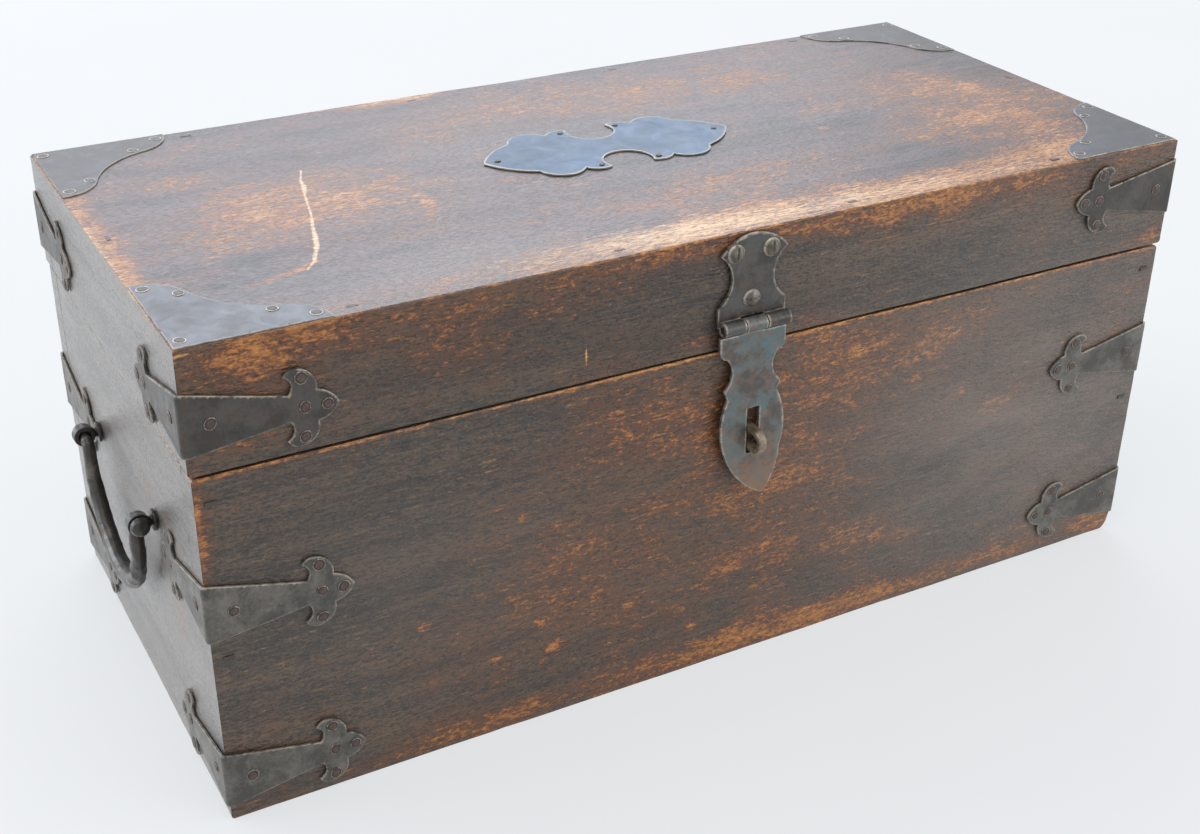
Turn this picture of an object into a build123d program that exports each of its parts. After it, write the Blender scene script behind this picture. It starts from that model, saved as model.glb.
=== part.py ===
from build123d import *
import os
from math import cos, hypot, radians, sin, tan

# Small iron-bound hardwood chest. Millimetres, +Z up, the front faces -Y.
# The origin is the centre of the underside.

# ---------------------------------------------------------------- carcase
LID_LENGTH = 457.0       # over the ends of the lid
DEPTH = 213.0            # front face to back face
BASE_HIGH = 153.5        # underside to the rim of the base
LID_HIGH = 49.5          # lid, from its lower edge to the top of its board
SEAM_GAP = 1.0           # between base and lid
END_LIP = 0.8            # the lid stands this far past each end of the base
WALL = 13.0              # base walls and lid rails
TOP_BOARD = 16.0         # lid board, on top of the rails
BOTTOM_BOARD = 10.0      # base board, between the walls
ARRIS = 1.2              # worn radius of upright and upper edges
SEAM_ARRIS = 1.0         # rim and lid edge, along the front and the back
SEAM_END_ARRIS = 2.8     # rim and lid edge, along the ends
FOOT_ARRIS = 3.0         # lower edges, along the front and the back
FOOT_END_ARRIS = 4.0     # lower edges, along the ends

# ---------------------------------------------------------------- board nails
BOARD_NAIL_WIDE = 4.4    # flush rectangular head, along the board
BOARD_NAIL_THICK = 1.5
BOARD_NAIL_LONG = 30.0
WALL_NAIL_LOW = 28.0     # above the floor
WALL_NAIL_MIDDLE = 76.0  # above the floor
WALL_NAIL_HIGH = 10.7    # below the rim
TOP_NAIL_FROM_END = 66.5
TOP_NAIL_COUNT = 4

# ---------------------------------------------------------------- corner straps
SHEET = 1.0              # sheet iron of straps and plates
STRAP_ROOT = 25.0        # height of the strap where it goes round the corner
STRAP_NECK = 10.8        # height at the narrowest place
STRAP_NECK_AT = 38.2     # distance of the neck from the corner
STRAP_REACH = 57.0       # corner to the tip
LOBE_RISE = 15.3         # centre line to the top of a side lobe
LOBE_AT = 42.4           # distance of the lobe tops from the corner
LID_STRAP_LEFT = 20.7    # centre above the lid's lower edge
LID_STRAP_RIGHT = 28.0
MID_STRAP_LEFT = 56.5    # centre below the rim of the base
MID_STRAP_RIGHT = 52.0
LOW_STRAP_LEFT = 19.6    # centre above the floor
LOW_STRAP_RIGHT = 22.4
LID_TILT_LEFT = -3.4     # degrees, an arm drops towards its tip when negative
LID_TILT_RIGHT = 0.9
MID_TILT_LEFT = -3.2
MID_TILT_RIGHT = 0.3
LOW_TILT_LEFT = -0.8
LOW_TILT_RIGHT = 0.0

# ---------------------------------------------------------------- forged nails
NAIL_HEAD_R = 2.7
NAIL_HEAD_RISE = 0.9
NAIL_HEAD_SIDES = 7
NAIL_SHANK = 1.8         # square shank under the head, drawn to a point
NAIL_LONG = 9.0          # under the head
STRAP_NAILS = ((10.0, 0.0), (44.0, 0.0), (52.4, 0.0), (43.4, 11.7), (43.4, -11.7))

# ---------------------------------------------------------------- plates on the lid board
PLATE_SIZE = 57.0        # along each edge
PLATE_LOBE_R = 18.0      # convex lobe at each end of the inner edge
PLATE_INSET = 1.0        # plate edge to lid edge
PLATE_SINK = 0.5         # how deep the plates are let into the board
PLATE_NAILS = ((3.8, 5.2), (52.2, 5.0), (39.6, 15.0), (14.4, 42.6), (4.0, 51.6))

ORNAMENT_AT = (-1.9, 3.0)
ORNAMENT_TURN = -3.0     # degrees, as it was laid by eye
ORNAMENT_SHEET = 0.8
ORNAMENT_REACH = 59.0    # centre to each leaf tip
ORNAMENT_WAIST = 9.0     # half the width of the waist
ORNAMENT_SHOULDER = (9.8, 24.4)    # places on one quarter of the outline
ORNAMENT_CROWN = (15.6, 25.4)
ORNAMENT_NOTCH = (21.0, 21.8)
ORNAMENT_LOBE = (31.4, 26.6)
ORNAMENT_DIP = (40.6, 18.0)
ORNAMENT_POINT = (51.6, 10.6)
ORNAMENT_PIN_IN = 6.5    # pin to the leaf tip
ORNAMENT_PIN_AT = (13.6, 21.6)     # the pins of the inner lobes
ORNAMENT_PIN_R = 1.4
ORNAMENT_PIN_RISE = 0.3
ORNAMENT_PIN_LONG = 6.0

# ---------------------------------------------------------------- hasp
PLATE_IRON = 1.6         # plate of the hasp and its strap
HASP_X = 2.4             # middle of the hasp
HASP_AXIS_UP = 10.3      # hinge axis above the lid's lower edge
HASP_AXIS_OUT = 3.5      # hinge axis in front of the face
KNUCKLE_R = 3.2
KNUCKLE_GAP = 0.3        # between neighbouring knuckles
KNUCKLE_CLEAR = 0.5      # round a knuckle, in the other leaf
BARREL_LONG = 31.4
BARREL_AT = 0.8          # middle of the barrel, from the hasp's middle
HASP_MIDDLE_LONG = 9.8   # knuckle of the swinging strap
HASP_MIDDLE_AT = 0.2     # its centre, from the hasp's middle
PIN_R = 1.4
PIN_CLEAR = 0.06         # radial, in the knuckles that turn on the pin
HASP_TOP_GAP = 0.8       # crown of the plate to the top of the lid
HASP_EAR = (15.8, 7.9)   # half width and distance under the crown
HASP_WAIST = (10.0, 18.2)
HASP_HIP = (16.0, 8.7)   # half width and height above the axis
HASP_SHOULDER = (15.7, 10.4)       # half width and distance under the axis
HASP_ARMPIT = (14.8, 12.7)
HASP_THROAT = (12.5, 14.0)
HASP_HOLLOW = (9.9, 21.4)
HASP_CUSP = (13.7, 28.2)
HASP_NOTCH = (12.1, 32.6)
HASP_BELLY = (15.6, 47.0)
HASP_FLANK = (13.5, 59.0)
HASP_LIP = (10.6, 67.6)
HASP_SKEW = 0.036        # sideways drift of the strap per mm of drop
HASP_DROP = 79.6         # axis to the tip
HASP_TIP_ASIDE = 4.6     # the tip is bent this far further to the right
HASP_BACK_OFF = 2.0      # back of the strap off the face, at its top
HASP_FLARE = 2.2         # how much further out the tip stands
SLOT_WIDE = 5.9
SLOT_HIGH = 20.8

STAPLE_WIDE = 4.4        # flat bar, across the slot
STAPLE_THICK = 2.6
STAPLE_HIGH = 11.0       # over the loop
STAPLE_OUT = 12.9        # front of the loop from the face
STAPLE_DEEP = 10.0       # legs in the wood
STAPLE_EDGE = 0.5        # hammered bevel of the bar
STAPLE_UNDER = 1.1       # clearance under the loop in the slot
STAPLE_BELOW = 52.4      # loop centre below the hinge axis

SMALL_SIDES = 12         # flats round screws and peened ends
SCREW_HEAD_R = 4.0
SCREW_HEAD_RISE = 1.9
SCREW_SHANK_R = 1.9
SCREW_LONG = 11.0
SCREW_SLOT = 0.9
HASP_UPPER_SCREWS = ((-9.0, 7.4, 85.0), (7.6, 7.4, 90.0))    # aside, under the crown, slot
HASP_LOWER_SCREW = (-0.6, 10.6, 0.0)                         # aside, above the axis, slot

# ---------------------------------------------------------------- hinges on the back
HINGE_FROM_END = 86.5    # middle of each hinge from the end of the lid
HINGE_WIDE = 46.0
HINGE_LEAF = 27.0        # leaf height from the axis
HINGE_IRON = 1.4
HINGE_KNUCKLE_R = 3.3
HINGE_AXIS_OUT = 3.6     # axis behind the back face
HINGE_PIN_R = 1.5
HINGE_MIDDLE_LONG = 15.0
HINGE_SCREW_R = 3.4      # countersunk head
HINGE_SCREW_SHANK_R = 1.7
HINGE_SCREW_LONG = 11.0
HINGE_SCREW_SLOT = 0.8
HINGE_SCREWS = ((-16.0, 10.5), (0.0, 19.5), (16.0, 10.5))

# ---------------------------------------------------------------- end handles
EYE_GAP = 1.3            # collar to the tip of the nearest strap
EYE_UP = 101.4           # middle of the handle above the floor
HANDLE_TILT = -2.8       # degrees about X: the front eye sits higher
EYE_OUT = 6.9            # eye centre from the end face
EYE_R = 4.7
EYE_THICK = 4.8          # along the pin
EYE_SHANK_R = 2.1
EYE_DEEP = 11.0          # shank in the wood
COLLAR_R = 4.6
COLLAR_THICK = 1.6
BAIL_END_R = 2.15        # thin ends, in the eyes
BAIL_MIDDLE_R = 4.0      # thick middle
BAIL_SWELL = 0.35        # power of the swelling, a low one swells near the eyes
BAIL_SIDES = 12          # facets round the hammered bar
BAIL_STEPS = 18          # and along it
BAIL_ELBOW_STEPS = 3
BAIL_CLEAR = 0.1         # radial, in the eyes
BAIL_SIDE = 0.6          # bail to the eye, along the pin
BAIL_ELBOW = 4.0         # centre line of the bend at each eye
BAIL_LEG = 3.5           # straight leg between elbow and bow
BAIL_HEAD_R = 4.3        # peened end
BAIL_HEAD_RISE = 3.2

# ---------------------------------------------------------------- derived places
BASE_LENGTH = LID_LENGTH - 2 * END_LIP
SEAM_HEIGHT = BASE_HIGH + SEAM_GAP / 2
LID_EDGE = BASE_HIGH + SEAM_GAP
HEIGHT = LID_EDGE + LID_HIGH
RAIL_TOP = HEIGHT - TOP_BOARD
FRONT = -DEPTH / 2
BACK = DEPTH / 2
HINGE_AT = LID_LENGTH / 2 - HINGE_FROM_END
EYE_SPREAD = DEPTH / 2 - STRAP_REACH - EYE_GAP - COLLAR_R
HASP_AXIS_Z = LID_EDGE + HASP_AXIS_UP
HASP_CROWN = LID_HIGH - HASP_AXIS_UP - HASP_TOP_GAP
HASP_AXIS_Y = FRONT - HASP_AXIS_OUT
STAPLE_Z = HASP_AXIS_Z - STAPLE_BELOW
STAPLE_X = HASP_X + HASP_SKEW * STAPLE_BELOW
SLOT_BOTTOM = STAPLE_HIGH / 2 + STAPLE_UNDER


def span(x0, x1, y0, y1, z0, z1):
    """A block between two corners."""
    middle = Pos((x0 + x1) / 2, (y0 + y1) / 2, (z0 + z1) / 2)
    return middle * Box(x1 - x0, y1 - y0, z1 - z0)


def rod(radius, long, at, direction):
    """A round bar that starts at a point and runs along a direction."""
    return extrude(Plane(origin=at, z_dir=direction) * Circle(radius), long)


def faceted(*rings):
    """A small turned or hammered form with flat sides. Each ring is (radius, height)."""
    return loft([Pos(0, 0, z) * RegularPolygon(radius, SMALL_SIDES) for radius, z in rings], ruled=True)


def left_right(shape):
    """The same shape at the other end of the chest."""
    return mirror(shape, about=Plane.YZ)


def front_back(shape):
    """The same shape on the other long side."""
    return mirror(shape, about=Plane.XZ)


def group(shapes):
    """Separate solids kept as one node."""
    return Compound([solid for shape in shapes for solid in shape.solids()])


def meets(a, b):
    """True where the boxes round two shapes overlap."""
    box_a = a.bounding_box()
    box_b = b.bounding_box()
    return all(
        low_a < high_b and low_b < high_a
        for low_a, high_a, low_b, high_b in zip(box_a.min, box_a.max, box_b.min, box_b.max)
    )


def bored(shape, *groups):
    """The shape with holes where the fasteners of the groups run through it."""
    cutters = [solid for one in groups for solid in one.solids() if meets(solid, shape)]
    return shape - cutters if cutters else shape


# ---------------------------------------------------------------- boards
def worn_outline(wide, z0, z1, low_arris, high_arris):
    """An upright rectangle with its lower and its upper corners worn round."""
    face = Pos(0, (z0 + z1) / 2) * Rectangle(wide, z1 - z0)
    face = fillet(face.vertices().group_by(Axis.Y)[0], low_arris)
    return fillet(face.vertices().group_by(Axis.Y)[-1], high_arris)


def worn_form(length, z0, z1, end_arrises, side_arrises):
    """The outer form of base or lid: where its front, side and top outlines overlap."""
    front = extrude(Plane.XZ * worn_outline(length, z0, z1, *end_arrises), DEPTH, both=True)
    side = extrude(Plane.YZ * worn_outline(DEPTH, z0, z1, *side_arrises), length, both=True)
    top = extrude(RectangleRounded(length, DEPTH, ARRIS), z1)
    return top & front & side


def base_boards():
    """Four walls and a bottom. The front and back walls cover the ends of the end walls."""
    form = worn_form(
        BASE_LENGTH, 0, BASE_HIGH, (FOOT_END_ARRIS, SEAM_END_ARRIS), (FOOT_ARRIS, SEAM_ARRIS)
    )
    end = BASE_LENGTH / 2
    inner = end - WALL
    return {
        "base_front_board": form & span(-end, end, FRONT, FRONT + WALL, 0, BASE_HIGH),
        "base_back_board": form & span(-end, end, BACK - WALL, BACK, 0, BASE_HIGH),
        "base_left_end": form & span(-end, -inner, FRONT + WALL, BACK - WALL, 0, BASE_HIGH),
        "base_right_end": form & span(inner, end, FRONT + WALL, BACK - WALL, 0, BASE_HIGH),
        "base_bottom_board": span(-inner, inner, FRONT + WALL, BACK - WALL, 0, BOTTOM_BOARD),
    }


def lid_boards():
    """A board nailed down on four rails."""
    form = worn_form(LID_LENGTH, LID_EDGE, HEIGHT, (SEAM_END_ARRIS, ARRIS), (SEAM_ARRIS, ARRIS))
    end = LID_LENGTH / 2
    inner = end - WALL
    return {
        "lid_top_board": form & span(-end, end, FRONT, BACK, RAIL_TOP, HEIGHT),
        "lid_front_rail": form & span(-end, end, FRONT, FRONT + WALL, LID_EDGE, RAIL_TOP),
        "lid_back_rail": form & span(-end, end, BACK - WALL, BACK, LID_EDGE, RAIL_TOP),
        "lid_left_rail": form & span(-end, -inner, FRONT + WALL, BACK - WALL, LID_EDGE, RAIL_TOP),
        "lid_right_rail": form & span(inner, end, FRONT + WALL, BACK - WALL, LID_EDGE, RAIL_TOP),
    }


def wall_nails():
    """Cut nails through the front and back walls into the end walls."""
    x = BASE_LENGTH / 2 - WALL / 2
    return [
        span(
            side * x - BOARD_NAIL_WIDE / 2,
            side * x + BOARD_NAIL_WIDE / 2,
            min(face, face + inward * BOARD_NAIL_LONG),
            max(face, face + inward * BOARD_NAIL_LONG),
            z - BOARD_NAIL_THICK / 2,
            z + BOARD_NAIL_THICK / 2,
        )
        for side in (-1, 1)
        for face, inward in ((FRONT, 1), (BACK, -1))
        for z in (WALL_NAIL_LOW, WALL_NAIL_MIDDLE, BASE_HIGH - WALL_NAIL_HIGH)
    ]


def top_nails():
    """Cut nails through the lid board into the rails."""
    y = DEPTH / 2 - WALL / 2
    last = LID_LENGTH / 2 - TOP_NAIL_FROM_END
    pitch = 2 * last / (TOP_NAIL_COUNT - 1)
    along = [(n * pitch - last, side * y) for n in range(TOP_NAIL_COUNT) for side in (-1, 1)]
    ends = [(side * (LID_LENGTH / 2 - WALL / 2), 0) for side in (-1, 1)]
    nail = Box(BOARD_NAIL_WIDE, BOARD_NAIL_THICK, BOARD_NAIL_LONG)
    middle = HEIGHT - BOARD_NAIL_LONG / 2
    return [Pos(x, y, middle) * nail for x, y in along] + [
        Pos(x, y, middle) * Rot(0, 0, 90) * nail for x, y in ends
    ]


# ---------------------------------------------------------------- forged nails
def forged_nail():
    """A low faceted head and a square shank drawn to a point. The head sits on z = 0."""
    head = loft([RegularPolygon(NAIL_HEAD_R, NAIL_HEAD_SIDES), Vertex(0, 0, NAIL_HEAD_RISE)], ruled=True)
    shank = loft([Rectangle(NAIL_SHANK, NAIL_SHANK), Vertex(0, 0, -NAIL_LONG)], ruled=True)
    return head + shank


# ---------------------------------------------------------------- corner straps
def arm_outline(tilt):
    """One arm of a strap: a taper to a narrow neck, two side lobes and a pointed tip.

    It lies flat with its root on x = 0, from the bend of the corner outwards.
    """
    drift = tan(radians(tilt))

    def at(x, y):
        return (x, y + (x - ARRIS) * drift)

    def edge(side):
        root = at(ARRIS, side * STRAP_ROOT / 2)
        neck = at(STRAP_NECK_AT, side * STRAP_NECK / 2)
        curl = at(LOBE_AT - 5.7, side * (LOBE_RISE - 2.7))
        crest = at(LOBE_AT, side * LOBE_RISE)
        notch = at(STRAP_REACH - 8.0, side * 6.3)
        tip = at(STRAP_REACH, 0)
        return [
            Line(root, neck),
            ThreePointArc(neck, at(STRAP_NECK_AT + 1.3, side * 8.2), curl),
            ThreePointArc(curl, at(LOBE_AT - 3.9, side * (LOBE_RISE - 0.6)), crest),
            ThreePointArc(crest, at(LOBE_AT + 5.4, side * (LOBE_RISE - 3.3)), notch),
            ThreePointArc(notch, at(STRAP_REACH - 3.2, side * 4.2), tip),
        ]

    root_edge = Line(at(ARRIS, -STRAP_ROOT / 2), at(ARRIS, STRAP_ROOT / 2))
    return make_face(edge(1) + edge(-1) + [root_edge])


def corner_mirror(end):
    """The upright plane through the front left corner that swaps front face and end face."""
    return Plane(origin=(-end, FRONT, 0), z_dir=(1, -1, 0))


def corner_strap(end, level, tilt):
    """A sheet strap bent round the front left corner, one arm on each face."""
    face = Plane(origin=(-end, FRONT, level), x_dir=(1, 0, 0), z_dir=(0, -1, 0))
    arm = extrude(face * arm_outline(tilt), SHEET)
    outer = ARRIS + SHEET
    bend = Cylinder(outer, STRAP_ROOT) - Cylinder(ARRIS, STRAP_ROOT)
    bend = bend & Pos(-outer / 2, -outer / 2, 0) * Box(outer, outer, STRAP_ROOT)
    bend = Pos(-end + ARRIS, FRONT + ARRIS, level) * bend
    return bend + arm + mirror(arm, about=corner_mirror(end))


def strap_nails(end, level, tilt):
    """Five nails on each arm of the strap at the front left corner."""
    drift = tan(radians(tilt))
    face = Plane(origin=(-end, FRONT - SHEET, level), x_dir=(1, 0, 0), z_dir=(0, -1, 0))
    nails = [
        face * Pos(x, y + (x - ARRIS) * drift, 0) * forged_nail() for x, y in STRAP_NAILS
    ]
    return nails + [mirror(nail, about=corner_mirror(end)) for nail in nails]


def strap_set(end, level_left, level_right, tilt_left, tilt_right):
    """The four straps of one level with their nails, by corner."""
    made = {}
    for side, level, tilt in (("left", level_left, tilt_left), ("right", level_right, tilt_right)):
        strap = corner_strap(end, level, tilt)
        nails = strap_nails(end, level, tilt)
        if side == "right":
            strap = left_right(strap)
            nails = [left_right(nail) for nail in nails]
        made["front_" + side] = (strap, nails)
        made["back_" + side] = (front_back(strap), [front_back(nail) for nail in nails])
    return made


# ---------------------------------------------------------------- plates on the lid board
def corner_plate_outline():
    """Two straight edges and an inner edge of three tangent arcs."""
    lobe = PLATE_SIZE - PLATE_LOBE_R
    reach = hypot(PLATE_LOBE_R, PLATE_SIZE)
    join = (
        lobe + PLATE_LOBE_R * PLATE_LOBE_R / reach,
        PLATE_LOBE_R * PLATE_SIZE / reach,
    )
    shoulder = (lobe + PLATE_LOBE_R * 0.8, PLATE_LOBE_R * 0.6)
    hollow = PLATE_SIZE - (reach - PLATE_LOBE_R) / 2 ** 0.5
    return make_face(
        [
            Line((0, 0), (PLATE_SIZE, 0)),
            ThreePointArc((PLATE_SIZE, 0), shoulder, join),
            ThreePointArc(join, (hollow, hollow), (join[1], join[0])),
            ThreePointArc((join[1], join[0]), (shoulder[1], shoulder[0]), (0, PLATE_SIZE)),
            Line((0, PLATE_SIZE), (0, 0)),
        ]
    )


def corner_plate():
    """The plate at the front left corner of the lid, let in by part of its thickness."""
    corner = Pos(-LID_LENGTH / 2 + PLATE_INSET, FRONT + PLATE_INSET, HEIGHT - PLATE_SINK)
    return extrude(corner * corner_plate_outline(), SHEET)


def corner_plate_nails():
    """Five nails through that plate."""
    top = HEIGHT - PLATE_SINK + SHEET
    corner = Pos(-LID_LENGTH / 2 + PLATE_INSET, FRONT + PLATE_INSET, top)
    return [corner * Pos(x, y, 0) * forged_nail() for x, y in PLATE_NAILS]


def ornament_outline():
    """Two scalloped leaves joined by a narrow waist, the same in all four quarters."""
    quarter = [
        ThreePointArc(ORNAMENT_SHOULDER, ORNAMENT_CROWN, ORNAMENT_NOTCH),
        ThreePointArc(ORNAMENT_NOTCH, ORNAMENT_LOBE, ORNAMENT_DIP),
        ThreePointArc(ORNAMENT_DIP, ORNAMENT_POINT, (ORNAMENT_REACH, 0)),
    ]
    right = quarter + [edge.mirror(Plane.XZ) for edge in quarter]
    across, up = ORNAMENT_SHOULDER
    bite = ThreePointArc((-across, up), (0, ORNAMENT_WAIST), (across, up))
    return make_face(
        right + [edge.mirror(Plane.YZ) for edge in right] + [bite, bite.mirror(Plane.XZ)]
    )


def ornament():
    """The thin plate in the middle of the lid board."""
    place = Pos(*ORNAMENT_AT, HEIGHT) * Rot(0, 0, ORNAMENT_TURN)
    return extrude(place * ornament_outline(), ORNAMENT_SHEET)


def ornament_pins():
    """Small pins through the leaf tips and the inner lobes."""
    across, up = ORNAMENT_PIN_AT
    spots = [(side * (ORNAMENT_REACH - ORNAMENT_PIN_IN), 0) for side in (-1, 1)]
    spots += [(x, y) for x in (-across, across) for y in (-up, up)]
    place = Pos(*ORNAMENT_AT, HEIGHT + ORNAMENT_SHEET) * Rot(0, 0, ORNAMENT_TURN)
    pin = extrude(RegularPolygon(ORNAMENT_PIN_R, NAIL_HEAD_SIDES), ORNAMENT_PIN_RISE)
    pin += Pos(0, 0, -ORNAMENT_PIN_LONG / 2) * Box(ORNAMENT_PIN_R, ORNAMENT_PIN_R, ORNAMENT_PIN_LONG)
    return [place * Pos(x, y, 0) * pin for x, y in spots]


# ---------------------------------------------------------------- hasp
def knuckle(x0, x1, y, z, radius, bore):
    """A rolled knuckle round an axis along X."""
    outer = rod(radius, x1 - x0, (x0, y, z), (1, 0, 0))
    return outer - rod(bore, x1 - x0, (x0, y, z), (1, 0, 0))


def hasp_spans():
    """Left, middle and right knuckle of the hasp, as (start, end) along X."""
    low = HASP_X + BARREL_AT - BARREL_LONG / 2
    high = HASP_X + BARREL_AT + BARREL_LONG / 2
    middle_low = HASP_X + HASP_MIDDLE_AT - HASP_MIDDLE_LONG / 2
    middle_high = middle_low + HASP_MIDDLE_LONG
    return (
        (low, middle_low - KNUCKLE_GAP),
        (middle_low, middle_high),
        (middle_high + KNUCKLE_GAP, high),
    )


def hasp_lid_plate():
    """Eared plate on the lid with the two outer knuckles of the hasp."""
    ear = (HASP_EAR[0], HASP_CROWN - HASP_EAR[1])
    waist = (HASP_WAIST[0], HASP_CROWN - HASP_WAIST[1])
    hip = HASP_HIP
    outline = make_face(
        [
            ThreePointArc((-ear[0], ear[1]), (0, HASP_CROWN), ear),
            ThreePointArc(ear, waist, hip),
            Line(hip, (hip[0], 0)),
            Line((hip[0], 0), (-hip[0], 0)),
            Line((-hip[0], 0), (-hip[0], hip[1])),
            ThreePointArc((-hip[0], hip[1]), (-waist[0], waist[1]), (-ear[0], ear[1])),
        ]
    )
    face = Plane(origin=(HASP_X, FRONT, HASP_AXIS_Z), x_dir=(1, 0, 0), z_dir=(0, -1, 0))
    plate = extrude(face * outline, PLATE_IRON)
    left, middle, right = hasp_spans()
    start = (middle[0] - KNUCKLE_GAP, HASP_AXIS_Y, HASP_AXIS_Z)
    plate -= rod(
        KNUCKLE_R + KNUCKLE_CLEAR, middle[1] - middle[0] + 2 * KNUCKLE_GAP, start, (1, 0, 0)
    )
    tongue_low = HASP_AXIS_Z - KNUCKLE_R
    plate -= span(
        middle[0] - KNUCKLE_GAP, middle[1] + KNUCKLE_GAP, FRONT - PLATE_IRON, FRONT, tongue_low,
        HASP_AXIS_Z + KNUCKLE_R,
    )
    bore = rod(PIN_R, BARREL_LONG, (left[0], HASP_AXIS_Y, HASP_AXIS_Z), (1, 0, 0))
    for x0, x1 in (left, right):
        plate += knuckle(x0, x1, HASP_AXIS_Y, HASP_AXIS_Z, KNUCKLE_R, PIN_R)
    return plate - bore


def hasp_strap_outline():
    """Shoulders, a hollow neck, two cusps and a long leaf with a point, drifting sideways."""

    top = (HASP_SHOULDER[0], KNUCKLE_R + KNUCKLE_CLEAR)

    def at(side, place, aside=0.0):
        across, under = place
        return (side * across + HASP_SKEW * under + aside, -under)

    def edge(side):
        tip = at(side, (0, HASP_DROP), HASP_TIP_ASIDE)
        return [
            Line(at(side, top), at(side, HASP_SHOULDER)),
            ThreePointArc(at(side, HASP_SHOULDER), at(side, HASP_ARMPIT), at(side, HASP_THROAT)),
            ThreePointArc(at(side, HASP_THROAT), at(side, HASP_HOLLOW), at(side, HASP_CUSP)),
            Line(at(side, HASP_CUSP), at(side, HASP_NOTCH)),
            ThreePointArc(at(side, HASP_NOTCH), at(side, HASP_BELLY), at(side, HASP_FLANK)),
            ThreePointArc(at(side, HASP_FLANK), at(side, HASP_LIP, HASP_TIP_ASIDE / 4), tip),
        ]

    return make_face(edge(1) + edge(-1) + [Line(at(-1, top), at(1, top))])


def hasp_band():
    """Side view of the strap, bowed so that its tip stands out, as a band across X."""
    reach = BARREL_LONG

    def curve(out):
        top = (FRONT - HASP_BACK_OFF - out, 0)
        middle = (FRONT - HASP_BACK_OFF - out - 0.25 * HASP_FLARE, -HASP_DROP * 0.55)
        end = (FRONT - HASP_BACK_OFF - out - HASP_FLARE, -HASP_DROP)
        return top, ThreePointArc(top, middle, end), end

    inner_top, inner, inner_end = curve(0)
    outer_top, outer, outer_end = curve(PLATE_IRON)
    side_view = make_face([inner, outer, Line(inner_top, outer_top), Line(inner_end, outer_end)])
    plane = Plane(origin=(HASP_X - reach, 0, HASP_AXIS_Z), x_dir=(0, 1, 0), z_dir=(1, 0, 0))
    return extrude(plane * side_view, 2 * reach)


def hasp_strap():
    """The swinging strap: its middle knuckle, the shaped leaf and the slot for the staple."""
    face = Plane(origin=(HASP_X, FRONT, HASP_AXIS_Z), x_dir=(1, 0, 0), z_dir=(0, -1, 0))
    leaf = extrude(face * hasp_strap_outline(), HASP_BACK_OFF + HASP_FLARE + 3 * PLATE_IRON)
    band = hasp_band()
    left, middle, right = hasp_spans()
    root = span(
        middle[0], middle[1], FRONT - HASP_AXIS_OUT - KNUCKLE_R, FRONT,
        HASP_AXIS_Z - KNUCKLE_R - 2 * KNUCKLE_CLEAR, HASP_AXIS_Z,
    )
    strap = (leaf & band) + (root & band)
    strap += rod(KNUCKLE_R, middle[1] - middle[0], (middle[0], HASP_AXIS_Y, HASP_AXIS_Z), (1, 0, 0))
    strap -= rod(
        PIN_R + PIN_CLEAR, BARREL_LONG, (left[0], HASP_AXIS_Y, HASP_AXIS_Z), (1, 0, 0)
    )
    slot_low = STAPLE_Z - SLOT_BOTTOM
    return strap - span(
        STAPLE_X - SLOT_WIDE / 2, STAPLE_X + SLOT_WIDE / 2, FRONT - STAPLE_OUT, FRONT,
        slot_low, slot_low + SLOT_HIGH,
    )


def hasp_pin():
    """Plain pin, as long as the barrel."""
    left, _, right = hasp_spans()
    return rod(PIN_R, right[1] - left[0], (left[0], HASP_AXIS_Y, HASP_AXIS_Z), (1, 0, 0))


def hasp_staple():
    """A flat bar bent to an upright loop through the slot, with its legs in the front wall."""
    centre = (STAPLE_DEEP - STAPLE_OUT) / 2
    outer = RectangleRounded(STAPLE_OUT + STAPLE_DEEP, STAPLE_HIGH, STAPLE_HIGH / 2 - 0.01)
    hole_high = STAPLE_HIGH - 2 * STAPLE_THICK
    hole = RectangleRounded(
        STAPLE_OUT + STAPLE_DEEP - 2 * STAPLE_THICK, hole_high, hole_high / 2 - 0.01
    )
    side_view = Pos(centre, 0) * (outer - hole)
    plane = Plane(
        origin=(STAPLE_X - STAPLE_WIDE / 2, FRONT, STAPLE_Z), x_dir=(0, 1, 0), z_dir=(1, 0, 0)
    )
    loop = extrude(plane * side_view, STAPLE_WIDE)
    loop = chamfer(loop.edges().filter_by_position(Axis.Y, -DEPTH, FRONT), STAPLE_EDGE)
    return loop - span(
        STAPLE_X - STAPLE_WIDE, STAPLE_X + STAPLE_WIDE,
        FRONT + STAPLE_DEEP - STAPLE_HIGH / 2, FRONT + STAPLE_DEEP,
        STAPLE_Z - STAPLE_HIGH, STAPLE_Z + STAPLE_HIGH,
    )


def round_head_screw(slot_angle):
    """A domed slotted screw. The head sits on z = 0, the shank points down."""
    head = faceted(
        (SCREW_HEAD_R, 0),
        (SCREW_HEAD_R * cos(radians(40)), SCREW_HEAD_RISE * sin(radians(40))),
        (SCREW_HEAD_R * cos(radians(70)), SCREW_HEAD_RISE),
    )
    slot = Box(2 * SCREW_HEAD_R, SCREW_SLOT, SCREW_HEAD_RISE)
    head -= Rot(0, 0, slot_angle) * Pos(0, 0, SCREW_HEAD_RISE) * slot
    return head + faceted((SCREW_SHANK_R, 0), (SCREW_SHANK_R, -SCREW_LONG))


def hasp_screws():
    """The three screws of the plate on the lid."""
    face = Plane(
        origin=(HASP_X, FRONT - PLATE_IRON, HASP_AXIS_Z), x_dir=(1, 0, 0), z_dir=(0, -1, 0)
    )
    places = [(x, HASP_CROWN - under, slot) for x, under, slot in HASP_UPPER_SCREWS]
    places.append(HASP_LOWER_SCREW)
    return [face * Pos(x, z, 0) * round_head_screw(slot) for x, z, slot in places]


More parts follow.
